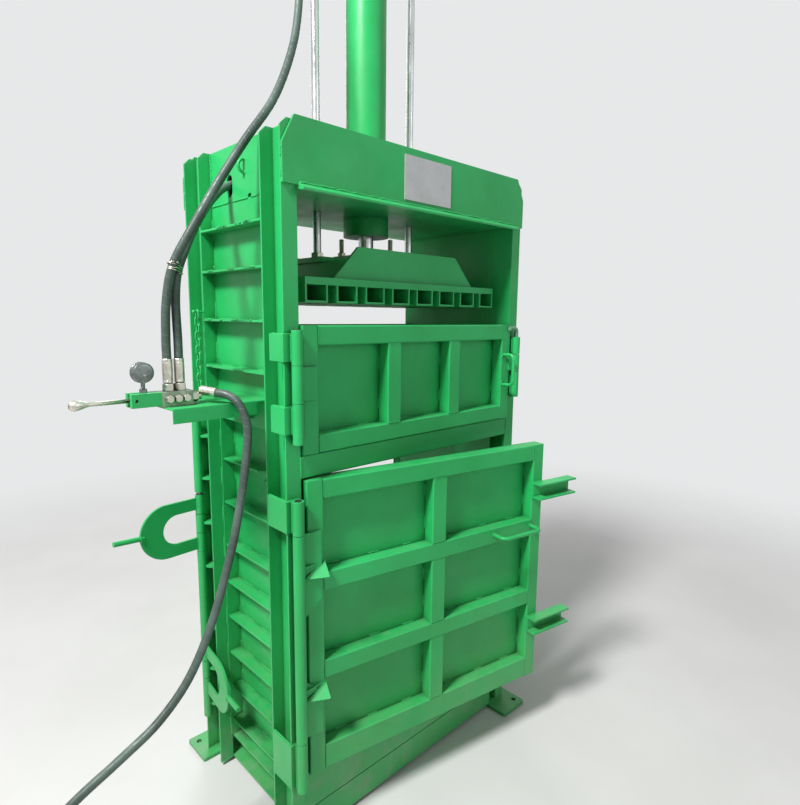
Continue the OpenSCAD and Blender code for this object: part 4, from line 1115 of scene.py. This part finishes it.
def hose_tie():
    """Three windings of wire round both hoses, and their twisted ends."""
    a, b = Vector((-699.2, -92.6, 1643)), Vector((-681.2, -78.4, 1641))
    reach = HOSE / 2 + 1.1
    along = (b - a).normalized()
    across = Vector((-along.y, along.x, 0)).normalized()

    def hull(share):
        """A point round both hoses, share 0 to 1."""
        span, half = (b - a).length, math.pi * reach
        d = (share % 1.0) * (2 * span + 2 * half)
        for near, far, sign in ((a, b, 1), (b, a, -1)):
            if d < span:
                return near + along * (d * sign) + across * (reach * sign)
            d -= span
            if d < half:
                t = math.pi / 2 - d / reach
                return far + (along * math.cos(t) + across * math.sin(t)) * (reach * sign)
            d -= half
        return a + across * reach

    parts = Parts()
    for start, low, high, turns in ((0.12, -15, 13, 2.0), (0.62, -13, 15, -2.0), (0.30, -3, 1, 1.02)):
        points = []
        for i in range(97):
            t = i / 96
            points.append(hull(start + turns * t) + Vector((0, 0, low + (high - low) * t)))
        parts.add(tube_mesh(points, [TIE_WIRE] * len(points), 8))
    # The twisted ends
    end = hull(0.62) + Vector((0, 0, 12))
    away = Vector((-0.55, -0.75, 0.1))
    for phase in (0, math.pi):
        points = []
        for i in range(25):
            t = i / 24
            swirl = phase + t * 4 * math.pi
            side = across * math.cos(swirl) + Vector(UP) * math.sin(swirl)
            points.append(end + away * (16 * t) + side * 1.3)
        parts.add(tube_mesh(points, [TIE_ENDS] * len(points), 8))
    parts.piece("hose_tie", slot="zinc_steel")


hose_tie()


# Light, floor and background

def area_lamp(name, place, aim, size, power):
    """A white disc of light that faces its aim."""
    data = bpy.data.lights.new(name, "AREA")
    data.shape = "DISK"
    data.size = size
    data.energy = power
    lamp = add_object(name, data)
    lamp.location = place
    lamp.rotation_mode = "QUATERNION"
    lamp.rotation_quaternion = (Vector(aim) - Vector(place)).to_track_quat("-Z", "Y")


area_lamp("key", (-3.8, -0.85, 5.5), (-0.3, 0, 1.2), 1.2, 530)
area_lamp("front_fill", (1.6, -5.2, 3.0), (0, 0, 1.0), 3.4, 36)
area_lamp("rear_fill", (2.8, 4.2, 4.0), (0, 0, 1.2), 3.0, 110)

FLOOR_LIGHT = rgb(0.62, 0.617, 0.605)
FLOOR_DARK = rgb(0.58, 0.577, 0.565)
BACKGROUND = rgb(0.80, 0.81, 0.815)
# Strength of the world's light on the object; what is seen of it has a strength of 1
AMBIENT = 0.30
# The floor runs into the background between these distances from the middle
FLOOR_FADE = (1.9, 4.6)
FLOOR_HALF, FLOOR_LEVEL = 14.0, -0.001


def make_floor():
    """Pale floor that runs into the background away from the machine."""
    f = Finish("floor", 0.6)
    f.set("Base Color", f.mix(f.band(f.noise(1.6, 4.0), 0.3, 0.7), FLOOR_DARK, FLOOR_LIGHT))
    distance = f.node("ShaderNodeVectorMath", {0: f.place}, operation="LENGTH").outputs["Value"]
    seen = f.node("ShaderNodeLightPath").outputs["Is Camera Ray"]
    share = f.times(f.band(distance, *FLOOR_FADE), seen)
    glow = f.node("ShaderNodeEmission", {"Color": BACKGROUND, "Strength": 1.0})
    both = f.node("ShaderNodeMixShader", {0: share, 1: f.shader.outputs[0], 2: glow.outputs[0]})
    f.tree.links.new(both.outputs[0], f.tree.nodes["Material Output"].inputs["Surface"])
    mesh = bpy.data.meshes.new("floor")
    signs = ((-1, -1), (1, -1), (1, 1), (-1, 1))
    mesh.from_pydata([(x * FLOOR_HALF, y * FLOOR_HALF, FLOOR_LEVEL) for x, y in signs], [], [(0, 1, 2, 3)])
    mesh.materials.append(f.material)
    add_object("floor", mesh)


def make_world():
    """Pale background for the eye and reflections, a lower level for the light it casts."""
    world = bpy.data.worlds.new("studio")
    bpy.context.scene.world = world
    world.use_nodes = True
    world.node_tree.nodes.clear()
    made = Nodes(world.node_tree)
    rays = made.node("ShaderNodeLightPath").outputs
    seen = made.maths("MAXIMUM", rays["Is Camera Ray"], rays["Is Glossy Ray"])
    seen = made.maths("MAXIMUM", seen, rays["Is Transmission Ray"])
    cast, full = (made.node("ShaderNodeBackground", {"Color": BACKGROUND, "Strength": strength}).outputs[0]
                  for strength in (AMBIENT, 1.0))
    both = made.node("ShaderNodeMixShader", {0: seen, 1: cast, 2: full}).outputs[0]
    made.node("ShaderNodeOutputWorld", {"Surface": both})


make_floor()
make_world()
bpy.context.scene.view_settings.view_transform = "Standard"
